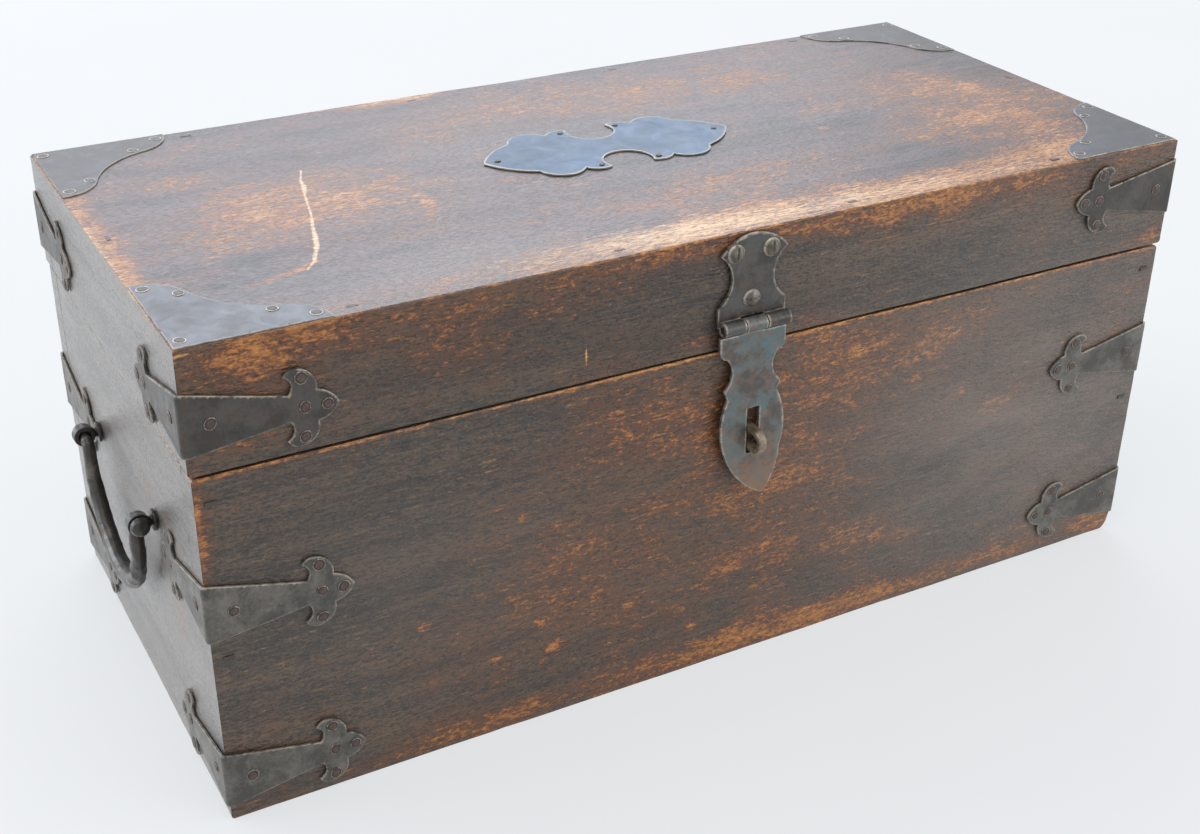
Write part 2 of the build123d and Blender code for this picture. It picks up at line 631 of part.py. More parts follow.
# ---------------------------------------------------------------- hinges on the back
def hinge_spans(x):
    """Left, middle and right knuckle of a hinge whose middle is at x."""
    low = x - HINGE_WIDE / 2
    middle = x - HINGE_MIDDLE_LONG / 2
    return (
        (low, middle - KNUCKLE_GAP),
        (middle, middle + HINGE_MIDDLE_LONG),
        (middle + HINGE_MIDDLE_LONG + KNUCKLE_GAP, low + HINGE_WIDE),
    )


def hinge_leaf(x, up, own, other, bore):
    """One leaf with its own knuckles, cleared round the knuckles of the other leaf."""
    axis_y = BACK + HINGE_AXIS_OUT
    low = x - HINGE_WIDE / 2
    z_start = SEAM_HEIGHT + up * SEAM_GAP / 2
    z_end = SEAM_HEIGHT + up * HINGE_LEAF
    leaf = span(
        low, low + HINGE_WIDE, BACK, BACK + HINGE_IRON,
        min(z_start, z_end), max(z_start, z_end),
    )
    tips = [edge for edge in leaf.edges().filter_by(Axis.Y) if abs(edge.center().Z - z_end) < 1]
    leaf = fillet(tips, HINGE_LEAF / 4)
    for x0, x1 in other:
        start = (x0 - KNUCKLE_GAP, axis_y, SEAM_HEIGHT)
        leaf -= rod(HINGE_KNUCKLE_R + KNUCKLE_CLEAR, x1 - x0 + 2 * KNUCKLE_GAP, start, (1, 0, 0))
    for x0, x1 in own:
        leaf += knuckle(x0, x1, axis_y, SEAM_HEIGHT, HINGE_KNUCKLE_R, HINGE_PIN_R)
    for x0, x1 in own:
        leaf -= rod(bore, x1 - x0, (x0, axis_y, SEAM_HEIGHT), (1, 0, 0))
    return leaf


def countersunk_screw():
    """A flat slotted screw. Its face is z = 0, the shank points down."""
    screw = faceted(
        (HINGE_SCREW_R, 0),
        (HINGE_SCREW_SHANK_R, HINGE_SCREW_SHANK_R - HINGE_SCREW_R),
        (HINGE_SCREW_SHANK_R, -HINGE_SCREW_LONG),
    )
    return screw - Box(2 * HINGE_SCREW_R, HINGE_SCREW_SLOT, HINGE_SCREW_SLOT)


def hinge_screws(x, up):
    """Three screws of one leaf, flush with it."""
    face = Plane(origin=(x, BACK + HINGE_IRON, SEAM_HEIGHT), x_dir=(-1, 0, 0), z_dir=(0, 1, 0))
    return [face * Pos(sx, up * sz, 0) * countersunk_screw() for sx, sz in HINGE_SCREWS]


# ---------------------------------------------------------------- end handles
def tilted(shape):
    """The shape turned with the handle, about the middle of the left end."""
    return shape.rotate(Axis((0, 0, EYE_UP), (1, 0, 0)), HANDLE_TILT)


def handle_eye(y):
    """An eye on a shank, driven into the left end. The hole of the eye runs along the pin."""
    x = -BASE_LENGTH / 2 - EYE_OUT
    side = y - EYE_THICK / 2
    ring = rod(EYE_R, EYE_THICK, (x, side, EYE_UP), (0, 1, 0))
    shank = rod(EYE_SHANK_R, EYE_OUT + EYE_DEEP, (x, y, EYE_UP), (1, 0, 0))
    hole = rod(BAIL_END_R + BAIL_CLEAR, EYE_THICK, (x, side, EYE_UP), (0, 1, 0))
    return tilted(ring + shank - hole)


def eye_collar(y):
    """The washer between eye and wood."""
    end = -BASE_LENGTH / 2
    disc = rod(COLLAR_R, COLLAR_THICK, (end, y, EYE_UP), (-1, 0, 0))
    return tilted(disc - rod(EYE_SHANK_R, COLLAR_THICK, (end, y, EYE_UP), (-1, 0, 0)))


def bail_line():
    """Centre line of the bail, from the front eye down and round to the back eye."""
    elbow = EYE_SPREAD - EYE_THICK / 2 - BAIL_SIDE
    leg = elbow - BAIL_ELBOW
    drop = BAIL_ELBOW + BAIL_LEG
    bend = BAIL_ELBOW * sin(radians(45))
    bow = ThreePointArc((-leg, -drop), (0, -drop - leg), (leg, -drop))
    sides = [
        edge
        for side in (-1, 1)
        for edge in (
            ThreePointArc(
                (side * elbow, 0), (side * (elbow - bend), bend - BAIL_ELBOW), (side * leg, -BAIL_ELBOW)
            ),
            Line((side * leg, -BAIL_ELBOW), (side * leg, -drop)),
        )
    ]
    face = Plane(origin=(-BASE_LENGTH / 2 - EYE_OUT, 0, EYE_UP), x_dir=(0, 1, 0), z_dir=(1, 0, 0))
    return face * Wire(sides[:2] + [bow] + sides[:1:-1])


def bail_radius(share):
    """Thin at both eyes, thick in the middle. The share runs from 0 to 1 along the bail."""
    swelling = (1 - abs(2 * share - 1)) ** BAIL_SWELL
    return BAIL_END_R + (BAIL_MIDDLE_R - BAIL_END_R) * swelling


def bail():
    """The swinging handle of the left end: a hammered bar with thin ends peened in the eyes."""
    line = bail_line()
    elbow = radians(90) * BAIL_ELBOW / line.length
    turn = [elbow * n / BAIL_ELBOW_STEPS for n in range(BAIL_ELBOW_STEPS)]
    rest = [elbow + (1 - 2 * elbow) * n / BAIL_STEPS for n in range(BAIL_STEPS + 1)]
    shares = turn + rest + [1 - share for share in reversed(turn)]
    made = loft(
        [
            Plane(origin=line @ share, x_dir=(1, 0, 0), z_dir=line % share)
            * RegularPolygon(bail_radius(share), BAIL_SIDES)
            for share in shares
        ],
        ruled=True,
    )
    for side, end in ((-1, line @ 0), (1, line @ 1)):
        made += rod(BAIL_END_R, EYE_THICK + 2 * BAIL_SIDE, end, (0, side, 0))
        made += peened_head(end.X, side)
    return tilted(made)


def peened_head(x, side):
    """The domed end that keeps the bail in its eye."""
    head = faceted(
        (BAIL_HEAD_R, 0),
        (BAIL_HEAD_R, BAIL_HEAD_RISE / 4),
        (BAIL_HEAD_R * cos(radians(35)), BAIL_HEAD_RISE * cos(radians(35))),
        (BAIL_END_R, BAIL_HEAD_RISE),
    )
    face = EYE_SPREAD + EYE_THICK / 2 + BAIL_SIDE
    return Plane(origin=(x, side * face, EYE_UP), z_dir=(0, side, 0)) * head


# ---------------------------------------------------------------- assembly
def add_straps(nodes, part, name, sets):
    """Adds one level of straps to the nodes and returns all their nails."""
    nails = []
    for corner, (strap, own) in sets.items():
        nodes[f"{part}_{name}strap_{corner}"] = bored(strap, group(own))
        nails += own
    return nails


def base_nodes():
    """Every piece of the base but the eyes of the handles."""
    nodes = base_boards()
    end = BASE_LENGTH / 2
    mid = strap_set(
        end, BASE_HIGH - MID_STRAP_LEFT, BASE_HIGH - MID_STRAP_RIGHT, MID_TILT_LEFT, MID_TILT_RIGHT
    )
    low = strap_set(end, LOW_STRAP_LEFT, LOW_STRAP_RIGHT, LOW_TILT_LEFT, LOW_TILT_RIGHT)
    nodes["base_strap_nails"] = group(
        add_straps(nodes, "base", "mid_", mid) + add_straps(nodes, "base", "low_", low)
    )
    nodes["base_board_nails"] = group(wall_nails())
    nodes["hasp_staple"] = hasp_staple()
    nodes["base_hinge_screws"] = group(
        [screw for side in (-1, 1) for screw in hinge_screws(side * HINGE_AT, -1)]
    )
    for name, side in (("left", -1), ("right", 1)):
        left, middle, right = hinge_spans(side * HINGE_AT)
        leaf = hinge_leaf(
            side * HINGE_AT, -1, [middle], [left, right], HINGE_PIN_R + PIN_CLEAR
        )
        nodes[f"{name}_hinge_base_leaf"] = bored(leaf, nodes["base_hinge_screws"])
    return nodes


def lid_nodes():
    """Every piece of the lid but the swinging strap of the hasp."""
    nodes = lid_boards()
    straps = strap_set(
        LID_LENGTH / 2, LID_EDGE + LID_STRAP_LEFT, LID_EDGE + LID_STRAP_RIGHT,
        LID_TILT_LEFT, LID_TILT_RIGHT,
    )
    nodes["lid_strap_nails"] = group(add_straps(nodes, "lid", "", straps))
    nodes["lid_board_nails"] = group(top_nails())
    plate = corner_plate()
    own = corner_plate_nails()
    nails = []
    for corner, place in (
        ("front_left", lambda shape: shape),
        ("front_right", left_right),
        ("back_left", front_back),
        ("back_right", lambda shape: front_back(left_right(shape))),
    ):
        here = [place(nail) for nail in own]
        nodes[f"lid_plate_{corner}"] = bored(place(plate), group(here))
        nodes["lid_top_board"] -= place(plate)
        nails += here
    nodes["lid_plate_nails"] = group(nails)
    nodes["lid_ornament_pins"] = group(ornament_pins())
    nodes["lid_ornament"] = bored(ornament(), nodes["lid_ornament_pins"])
    nodes["hasp_screws"] = group(hasp_screws())
    nodes["hasp_lid_plate"] = bored(hasp_lid_plate(), nodes["hasp_screws"])
    nodes["hasp_pin"] = hasp_pin()
    nodes["lid_hinge_screws"] = group(
        [screw for side in (-1, 1) for screw in hinge_screws(side * HINGE_AT, 1)]
    )
    for name, side in (("left", -1), ("right", 1)):
        left, middle, right = hinge_spans(side * HINGE_AT)
        leaf = hinge_leaf(side * HINGE_AT, 1, [left, right], [middle], HINGE_PIN_R)
        nodes[f"{name}_hinge_lid_leaf"] = bored(leaf, nodes["lid_hinge_screws"])
        nodes[f"{name}_hinge_pin"] = rod(
            HINGE_PIN_R, HINGE_WIDE, (left[0], BACK + HINGE_AXIS_OUT, SEAM_HEIGHT), (1, 0, 0)
        )
    return nodes


def handle_nodes():
    """Eyes, collars and bails of both ends."""
    nodes = {}
    for name, y in (("front", -EYE_SPREAD), ("back", EYE_SPREAD)):
        nodes[f"left_handle_{name}_eye"] = handle_eye(y)
        nodes[f"right_handle_{name}_eye"] = left_right(handle_eye(y))
    collars = [eye_collar(y) for y in (-EYE_SPREAD, EYE_SPREAD)]
    nodes["left_handle_collars"] = group(collars)
    nodes["right_handle_collars"] = group([left_right(collar) for collar in collars])
    nodes["left_bail"] = bail()
    nodes["right_bail"] = left_right(nodes["left_bail"])
    return nodes


def bore_boards(nodes):
    """Holes in the boards for everything that is driven into them."""
    base_fasteners = [
        nodes[name]
        for name in (
            "base_strap_nails", "base_board_nails", "base_hinge_screws", "hasp_staple",
            "left_handle_front_eye", "left_handle_back_eye",
            "right_handle_front_eye", "right_handle_back_eye",
        )
    ]
    lid_fasteners = [
        nodes[name]
        for name in (
            "lid_strap_nails", "lid_board_nails", "lid_plate_nails", "lid_ornament_pins",
            "hasp_screws", "lid_hinge_screws",
        )
    ]
    for name in ("front_board", "back_board", "left_end", "right_end"):
        nodes["base_" + name] = bored(nodes["base_" + name], *base_fasteners)
    for name in ("top_board", "front_rail", "back_rail", "left_rail", "right_rail"):
        nodes["lid_" + name] = bored(nodes["lid_" + name], *lid_fasteners)


def chest():
    """All the nodes of the chest, by name."""
    nodes = base_nodes() | lid_nodes() | handle_nodes()
    nodes["hasp_strap"] = hasp_strap()
    bore_boards(nodes)
    return nodes


os.makedirs("parts", exist_ok=True)
for node, shape in chest().items():
    export_step(shape, f"parts/{node}.step")
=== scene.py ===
"""Iron-bound hardwood chest: worn boards, dressed ironwork, nails, floor and light round the fixed frame."""

import itertools
import logging
import math
import random
from dataclasses import dataclass, field
from enum import Enum
from typing import Sequence

import bmesh
import bpy
import numpy as np
from mathutils import Matrix, Vector, kdtree


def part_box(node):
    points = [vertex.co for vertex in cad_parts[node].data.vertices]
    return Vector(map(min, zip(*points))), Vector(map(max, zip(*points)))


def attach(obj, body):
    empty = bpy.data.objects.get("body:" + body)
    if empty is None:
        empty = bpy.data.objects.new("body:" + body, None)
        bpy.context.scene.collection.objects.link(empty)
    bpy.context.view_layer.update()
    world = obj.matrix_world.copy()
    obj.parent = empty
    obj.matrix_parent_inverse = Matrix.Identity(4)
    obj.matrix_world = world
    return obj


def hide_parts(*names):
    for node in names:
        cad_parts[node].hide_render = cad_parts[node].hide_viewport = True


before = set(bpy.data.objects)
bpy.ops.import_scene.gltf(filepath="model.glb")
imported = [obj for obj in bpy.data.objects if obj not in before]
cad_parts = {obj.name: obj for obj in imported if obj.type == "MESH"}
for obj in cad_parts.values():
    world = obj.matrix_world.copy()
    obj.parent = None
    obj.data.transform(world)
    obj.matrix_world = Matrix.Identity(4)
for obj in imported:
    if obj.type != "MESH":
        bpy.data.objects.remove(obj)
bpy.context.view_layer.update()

LOG = logging.getLogger("chest")
MM = 0.001
SEED = 1894

LID_LEVEL = 180.0  # millimetres: of the base and the lid, only the lid reaches past it
LEAST_GAP = 0.2  # millimetres between two lines of a board's grid
HAMMER_MARKS = 600.0  # to the metre, on the small heads
COLOURS = {"out": 2, "data_type": "RGBA"}  # how a Mix node blends colours

Material, Mesh, Object, Tree = bpy.types.Material, bpy.types.Mesh, bpy.types.Object, bpy.types.NodeTree
Socket = bpy.types.NodeSocket | bpy.types.Node
Finishes = dict[str, Material]
Pair, Triple = tuple[float, float], tuple[float, float, float]


# ---- colour and nodes
def linear(code: str) -> tuple[float, float, float, float]:
    """Turns a hex sRGB colour into a linear one.

    Args:
        code: Six hex digits after a #.

    Returns:
        Red, green, blue and alpha for a colour socket.
    """
    parts = [int(code[i : i + 2], 16) / 255 for i in (1, 3, 5)]
    red, green, blue = [c / 12.92 if c <= 0.04045 else ((c + 0.055) / 1.055) ** 2.4 for c in parts]
    return red, green, blue, 1.0


def add(tree: Tree, kind: str, inputs: dict | None = None, out: int | str = 0, **settings) -> Socket:
    """Adds one node with its settings and links.

    Args:
        tree: The tree that gets the node.
        kind: The node's type name, without ShaderNode for a shader node.
        inputs: Socket name or number to a value, or to the output socket that feeds it.
        out: Name or number of the output that is handed back.
        settings: Properties of the node itself.

    Returns:
        The chosen output socket, or the node itself where it has no outputs.
    """
    node = tree.nodes.new(kind if "Node" in kind else "ShaderNode" + kind)
    for key, value in settings.items():
        setattr(node, key, value)
    for key, value in (inputs or {}).items():
        if isinstance(value, bpy.types.NodeSocket):
            tree.links.new(value, node.inputs[key])
        else:
            node.inputs[key].default_value = value
    return node.outputs[out] if len(node.outputs) else node


def blank(name: str) -> tuple[Material, Tree]:
    """Makes an empty node material.

    Args:
        name: The name of the real material and finish.

    Returns:
        The material and its tree.
    """
    material = bpy.data.materials.new(name)
    material.use_nodes = True
    material.node_tree.nodes.clear()
    return material, material.node_tree


class Grain(Enum):
    """The way the grain of a board runs."""

    LENGTH = 0
    DEPTH = 1

    def scale(self, along: float, across: float) -> Triple:
        """Noise scale per metre for marks of these sizes in millimetres."""
        return tuple(1000 / (along if axis == self.value else across) for axis in range(3))


# ---- finishes
@dataclass(frozen=True)
class WaxedHardwood:
    """Sheesham, stained nearly black and waxed: a dull sheen, orange wood where hands wore it through."""

    name: str
    grain: Grain
    dark: str = "#2f2a25"
    brown: str = "#5e4a38"
    warm: str = "#5f371b"
    worn: str = "#743c12"
    worn_light: str = "#cd8a42"
    bare: str = "#dba35c"
    # pale grey film of dust, partly a painted sheen of the room on the wax
    dust_and_sheen: str = "#87807a"
    raw_dark: str = "#4d3828"
    inside: str = "#71563f"
    grime: str = "#1b1815"
    roughness: float = 0.40
    coat: float = 0.6
    coat_roughness: float = 0.32
    relief: float = 0.36
    pores: float = 0.45
    streak: float = 1.0
    ior: float = 1.42

    # name, length and width of the marks in mm, detail, roughness, distortion
    MARKS = (
        ("figure", 170.0, 13.0, 6.0, 0.62, 0.5),
        ("fibre", 7.5, 1.15, 3.0, 0.6, 0.5),
        ("pore", 2.6, 0.8, 2.0, 0.5, 0.3),
        ("blotch", 60.0, 24.0, 7.0, 0.68, 0.5),
        ("cloud", 19.0, 6.5, 4.0, 0.65, 0.6),
        ("fleck", 3.0, 1.9, 3.0, 0.66, 0.5),
        ("grit", 1.6, 1.0, 2.0, 0.6, 0.0),
    )
    # name of a sum, what it starts from, and the share of each mark that is added
    SUMS = (
        ("lift", -1.25, {"blotch": 2.6, "wear": 1.0, "grime": -0.6}),
        ("score", "cloud", {"fibre": 1.1, "blotch": 1.4, "fleck": 1.6, "grit": 0.9, "wear": 0.62, "grime": -0.35}),
        ("rubbed", "pale", {"fibre": 1.8, "grit": 0.6}),
        ("height", "fibre", {"pit": 0.5, "grit": 0.6}),
    )

    def build(self) -> Material:
        """Builds the material on object coordinates and the boards' wear attributes.

        Returns:
            The material.
        """
        material, tree = blank(self.name)
        where = add(tree, "TexCoord", out="Object")
        value = {name: add(tree, "Attribute", out="Fac", attribute_name=name)
                 for name in ("wear", "pale", "grime", "dust_and_sheen", "inside")}
        for name, along, across, detail, rough, twist in self.MARKS:
            place = add(tree, "Mapping", {"Vector": where, "Scale": self.grain.scale(along, across)})
            value[name] = add(tree, "TexNoise", {
                "Vector": place, "Scale": 1.0, "Detail": detail, "Roughness": rough, "Distortion": twist})
        value["pit"] = add(tree, "MapRange", {"Value": value["pore"], "From Min": 0.38, "From Max": 0.47})
        for name, start, shares in (("tone", "fibre", {"figure": self.streak, "grit": 0.9}), *self.SUMS):
            total = value.get(start, start)
            for mark, share in shares.items():
                total = add(tree, "Math", {0: value[mark], 1: share, 2: total}, operation="MULTIPLY_ADD")
            value[name] = total
        middle = 0.5 * (self.streak + 1.9)
        for name, source, limits in (
            ("tone", "tone", {"From Min": middle - 0.16, "From Max": middle + 0.16}),
            ("lift", "lift", {"To Max": 0.95}),
            ("tint", "score", {"From Min": 3.45, "From Max": 4.4}),
            ("dirt", "grime", {"To Max": 0.55}),
            ("rubbed", "rubbed", {"From Min": 1.5, "From Max": 2.2}),
            ("shade", "pit", {"To Min": self.pores}),
        ):
            value[name] = add(tree, "MapRange", {"Value": value[source], **limits})
        value["through"] = add(tree, "MapRange", {
            "Value": value["score"], "From Min": 3.42, "From Max": 3.72}, interpolation_type="SMOOTHSTEP")
        colour, orange, raw = [
            add(tree, "Mix", {0: value[share], 6: linear(first), 7: linear(second)}, **COLOURS)
            for share, first, second in (("tone", self.dark, self.brown), ("tint", self.worn, self.worn_light),
                                         ("tone", self.raw_dark, self.inside))
        ]
        for share, over in (("lift", linear(self.warm)), ("through", orange), ("dirt", linear(self.grime)),
                            ("rubbed", linear(self.bare)), ("inside", raw)):
            colour = add(tree, "Mix", {0: value[share], 6: colour, 7: over}, **COLOURS)
        colour = add(tree, "Mix", {0: 1.0, 6: colour, 7: value["shade"]}, blend_type="MULTIPLY", **COLOURS)
        # the pale grey film: dust, and partly a painted sheen
        film = add(tree, "Math", {0: value["blotch"], 1: value["dust_and_sheen"]}, operation="MULTIPLY")
        film = add(tree, "Math", {0: film, 1: 2.0}, operation="MULTIPLY", use_clamp=True)
        colour = add(tree, "Mix", {0: film, 6: colour, 7: linear(self.dust_and_sheen)}, **COLOURS)
        rough = add(tree, "MapRange", {
            "Value": value["through"], "To Min": self.roughness, "To Max": self.roughness + 0.16})
        bump = add(tree, "Bump", {"Strength": 0.8, "Distance": self.relief * MM, "Height": value["height"]})
        surface = add(tree, "BsdfPrincipled", {
            "Base Color": colour, "Roughness": rough, "IOR": self.ior, "Normal": bump, "Coat Weight": self.coat,
            "Coat Roughness": self.coat_roughness, "Coat IOR": self.ior, "Coat Normal": bump})
        add(tree, "OutputMaterial", {"Surface": surface})
        return material


@dataclass(frozen=True)
class OxidisedIron:
    """Iron sheet or bar under a dark oxide: grey-black and blotched, with pale edges of rubbed wear and dust,
    partly a painted highlight.
    """

    name: str
    dark: str = "#3a3937"
    mid: str = "#5a5854"
    rust: str = "#54402f"
    rust_share: float = 0.35
    patina: str = "#4f5a60"
    patina_share: float = 0.0
    rim: str = "#8b8478"
    dirt: str = "#14110f"
    metallic: float = 0.45
    roughness: float = 0.5
    dent: float = 0.12
    blotch: float = 14.0
    ring: str = "rim"
    rim_from: float = 0.25
    rim_whole: Pair = (0.36, 0.56)
    groove: float = 0.0
    rust_below: Pair = (0.0, 0.0)
    coat: float = 0.5

    def build(self) -> Material:
        """Builds the material on object coordinates and the rim attribute.

        Returns:
            The material.
        """
        material, tree = blank(self.name)
        where = add(tree, "TexCoord", out="Object")
        ring = add(tree, "Attribute", out="Fac", attribute_name=self.ring)
        value = {"ring": ring}
        for name, size, detail, twist in (
            ("cloud", self.blotch, 4.0, 0.4), ("grit", 1.4, 3.0, 0.0), ("scab", self.blotch * 0.45, 5.0, 0.8),
            ("wave", 7.0, 2.0, 0.0),
        ):
            value[name] = add(tree, "TexNoise", {
                "Vector": where, "Scale": 1000 / size, "Detail": detail, "Roughness": 0.62, "Distortion": twist})
        value["tone"], height = [
            add(tree, "Math", {0: value["grit"], 1: 0.35, 2: value[name]}, operation="MULTIPLY_ADD")
            for name in ("cloud", "wave")
        ]
        worn_from, worn_to = self.rim_whole
        for name, source, limits in (
            ("rim", "ring", {"From Min": self.rim_from, "From Max": 0.95}),
            ("tone", "tone", {"From Min": 0.56, "From Max": 0.8}),
            ("blue", "cloud", {"From Min": 0.42, "From Max": 0.6, "To Max": self.patina_share}),
            ("rusty", "scab", {"From Min": 0.46, "From Max": 0.64, "To Max": self.rust_share}),
            ("broken", "scab", {"From Min": worn_from, "From Max": worn_to}),
            ("rough", "scab", {"From Min": 0.35, "From Max": 0.7, "To Min": self.roughness - 0.08,
                               "To Max": self.roughness + 0.16}),
        ):
            value[name] = add(tree, "MapRange", {"Value": value[source], **limits})
        if self.rust_below[1]:
            level = add(tree, "SeparateXYZ", {"Vector": where}, out="Z")
            top, foot = self.rust_below
            lower = add(tree, "MapRange", {
                "Value": level, "From Min": foot, "From Max": top, "To Min": 0.8, "To Max": 0.0})
            lower = add(tree, "Math", {0: lower, 1: value["scab"]}, operation="MULTIPLY")
            value["rusty"] = add(tree, "Math", {0: lower, 1: 1.5, 2: value["rusty"]},
                                 operation="MULTIPLY_ADD", use_clamp=True)
        if self.groove:
            off = add(tree, "Math", {0: ring, 1: 0.5}, operation="SUBTRACT")
            off = add(tree, "Math", {0: off}, operation="ABSOLUTE")
            value["groove"] = add(tree, "MapRange", {
                "Value": off, "From Min": 0.1, "From Max": 0.35, "To Min": self.groove, "To Max": 0.0})
        value["edge"] = add(tree, "Math", {0: value["broken"], 1: value["rim"]}, operation="MULTIPLY")
        colour = linear(self.dark)
        for share, over in (("tone", self.mid), ("blue", self.patina), ("rusty", self.rust), ("groove", self.dirt),
                            ("edge", self.rim)):
            if share in value:
                colour = add(tree, "Mix", {0: value[share], 6: colour, 7: linear(over)}, **COLOURS)
        bump = add(tree, "Bump", {"Strength": 0.6, "Distance": self.dent * MM * 4, "Height": height})
        surface = add(tree, "BsdfPrincipled", {
            "Base Color": colour, "Roughness": value["rough"], "Metallic": self.metallic, "Normal": bump,
            "Coat Weight": self.coat, "Coat Roughness": 0.36, "Coat Normal": bump})
        add(tree, "OutputMaterial", {"Surface": surface})
        return material


@dataclass(frozen=True)
class MattPaper:
    """Seamless studio paper: nearly white and matt, with the faint unevenness of use."""

    name: str = "studio_paper"
    light: str = "#e6e6e6"
    worn: str = "#dcdddd"
    seen: str = "#edf0f2"
    even: float = 0.68

    def build(self) -> Material:
        """Builds the paper of the floor.

        Returns:
            The material.
        """
        material, tree = blank(self.name)
        where = add(tree, "TexCoord", out="Object")
        cloud = add(tree, "TexNoise", {"Vector": where, "Scale": 5.0, "Detail": 4.0, "Roughness": 0.6})
        colour = add(tree, "Mix", {0: cloud, 6: linear(self.light), 7: linear(self.worn)}, **COLOURS)
        surface = add(tree, "BsdfPrincipled", {"Base Color": colour, "Roughness": 0.75})
        rays = tree.nodes.new("ShaderNodeLightPath").outputs
        seen = add(tree, "Math", {0: rays["Is Camera Ray"], 1: rays["Is Glossy Ray"]}, operation="MAXIMUM")
        share = add(tree, "Math", {0: seen, 1: self.even}, operation="MULTIPLY")
        glow = add(tree, "Emission", {"Color": linear(self.seen), "Strength": 1.0})
        both = add(tree, "MixShader", {0: share, 1: surface, 2: glow})
        add(tree, "OutputMaterial", {"Surface": both})
        return material


# ---- mesh helpers
def mesh_of(work: bmesh.types.BMesh, name: str) -> Mesh:
    """Ends an edited mesh.

    Args:
        work: The edited mesh, which is freed.
        name: The name of the result.

    Returns:
        The plain mesh.
    """
    mesh = bpy.data.meshes.new(name)
    work.to_mesh(mesh)
    work.free()
    return mesh


def applied(piece: Object) -> Mesh:
    """Turns a piece's modifiers into plain mesh.

    Args:
        piece: The piece, which keeps no modifier.

    Returns:
        Its new mesh.
    """
    graph = bpy.context.evaluated_depsgraph_get()
    made = bpy.data.meshes.new_from_object(
        piece.evaluated_get(graph), preserve_all_data_layers=True, depsgraph=graph)
    piece.modifiers.clear()
    piece.data = made
    return made


def object_from(name: str, mesh: Mesh, material: Material | None) -> Object:
    """Links a new object at the origin.

    Args:
        name: The piece's name.
        mesh: Its mesh, in metres, with its place in its vertices.
        material: Its material, if it has one yet.

    Returns:
        The object.
    """
    made = bpy.data.objects.new(name, mesh)
    bpy.context.scene.collection.objects.link(made)
    if material is not None:
        mesh.materials.clear()
        mesh.materials.append(material)
    return made


def box_of(node: str) -> list[np.ndarray]:
    """The lowest and highest corner of a node, in millimetres."""
    return [np.array(corner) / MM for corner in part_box(node)]


def settle(piece: Object, body: str, slot: str, *nodes: str) -> None:
    """Lets a piece ride on a body, hides the nodes it stands for, and reports it.

    Args:
        piece: The finished piece.
        body: The body it rides on.
        slot: The record's material slot; not used.
        nodes: The nodes that it replaces.
    """
    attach(piece, body)
    if nodes:
        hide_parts(*nodes)
    LOG.info("%-28s rides on %-13s %6d faces", piece.name, body, len(piece.data.polygons))


def drift(places: np.ndarray, seed: int = 0) -> np.ndarray:
    """Smooth random field between -1 and 1, one cell to a unit.

    Args:
        places: Points, one to a row.
        seed: Another number gives another field.

    Returns:
        One value for each point.
    """
    cell = np.floor(places).astype(np.int64)
    part = places - cell
    ease = part * part * (3 - 2 * part)
    total = np.zeros(len(places))
    for corner in itertools.product((0, 1), repeat=3):
        key = cell + corner  # the large numbers below only scatter it
        mixed = key[:, 0] * 73856093 ^ key[:, 1] * 19349663 ^ key[:, 2] * 83492791 ^ (seed * 2654435761)
        mixed = ((mixed ^ (mixed >> 13)) * 1274126177) & 0xFFFFFFFF
        mixed = ((mixed ^ (mixed >> 15)) * 2246822519) & 0xFFFFFFFF
        weight = np.prod(np.where(corner, ease, 1 - ease), axis=1)
        total += weight * ((mixed >> 8 & 0xFFFF) / 32767.5 - 1)
    return total


def merged_copy(node: str) -> bmesh.types.BMesh:
    """Copies a node's mesh with its doubles merged.

    Args:
        node: The node's name.

    Returns:
        The copy, in metres.
    """
    work = bmesh.new()
    work.from_mesh(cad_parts[node].data)
    bmesh.ops.remove_doubles(work, verts=work.verts, dist=0.002 * MM)
    bmesh.ops.dissolve_degenerate(work, edges=work.edges, dist=0.001 * MM)
    return work


def soften(work: bmesh.types.BMesh, angle: float) -> None:
    """Shades every face smooth and keeps steep edges sharp.

    Args:
        work: The mesh.
        angle: The least angle of a sharp edge, in degrees.
    """
    limit = math.radians(angle)
    for face in work.faces:
        face.smooth = True
    for edge in work.edges:
        edge.smooth = len(edge.link_faces) == 2 and edge.calc_face_angle(0.0) < limit


# ---- wear of the wood
class Face(Enum):
    """An outer face of the chest, by the two axes that lie in it and the outward one."""

    FRONT = (0, 2, 1, -1)
    BACK = (0, 2, 1, 1)
    TOP = (0, 1, 2, 1)
    LEFT = (1, 2, 0, -1)
    RIGHT = (1, 2, 0, 1)


@dataclass(frozen=True)
class Patch:
    """A soft-edged place on one face, in millimetres, where a kind of wear gathers."""

    kind: str
    face: Face
    at: Pair
    reach: Pair
    amount: float

    def weigh(self, points: np.ndarray) -> np.ndarray:
        """The patch's share at each point, as if all lay on its face.

        Args:
            points: Places in millimetres, one to a row.

        Returns:
            One share for each place.
        """
        first, second = self.face.value[:2]
        u = (points[:, first] - self.at[0]) / self.reach[0]
        v = (points[:, second] - self.at[1]) / self.reach[1]
        return self.amount * np.exp(-(u**2) - v**2)


@dataclass(frozen=True)
class Stroke:
    """A scratch or rubbed line through points on one face, with its half width at each, in millimetres."""

    kind: str
    face: Face
    points: tuple[Triple, ...]
    amount: float

    def weigh(self, points: np.ndarray) -> np.ndarray:
        """The line's share at each point, full on its middle and none past its width.

        Args:
            points: Places in millimetres, one to a row.

        Returns:
            One share for each place.
        """
        first, second = self.face.value[:2]
        place = points[:, (first, second)]
        best = np.zeros(len(points))
        for (u0, v0, w0), (u1, v1, w1) in zip(self.points, self.points[1:]):
            start, run = np.array((u0, v0)), np.array((u1 - u0, v1 - v0))
            share = np.clip(((place - start) @ run) / (run @ run), 0, 1)
            gap = np.linalg.norm(place - start - share[:, None] * run, axis=1)
            width = w0 + (w1 - w0) * share
            best = np.maximum(best, np.clip(1.5 - 0.9 * gap / width, 0, 1))
        return self.amount * best


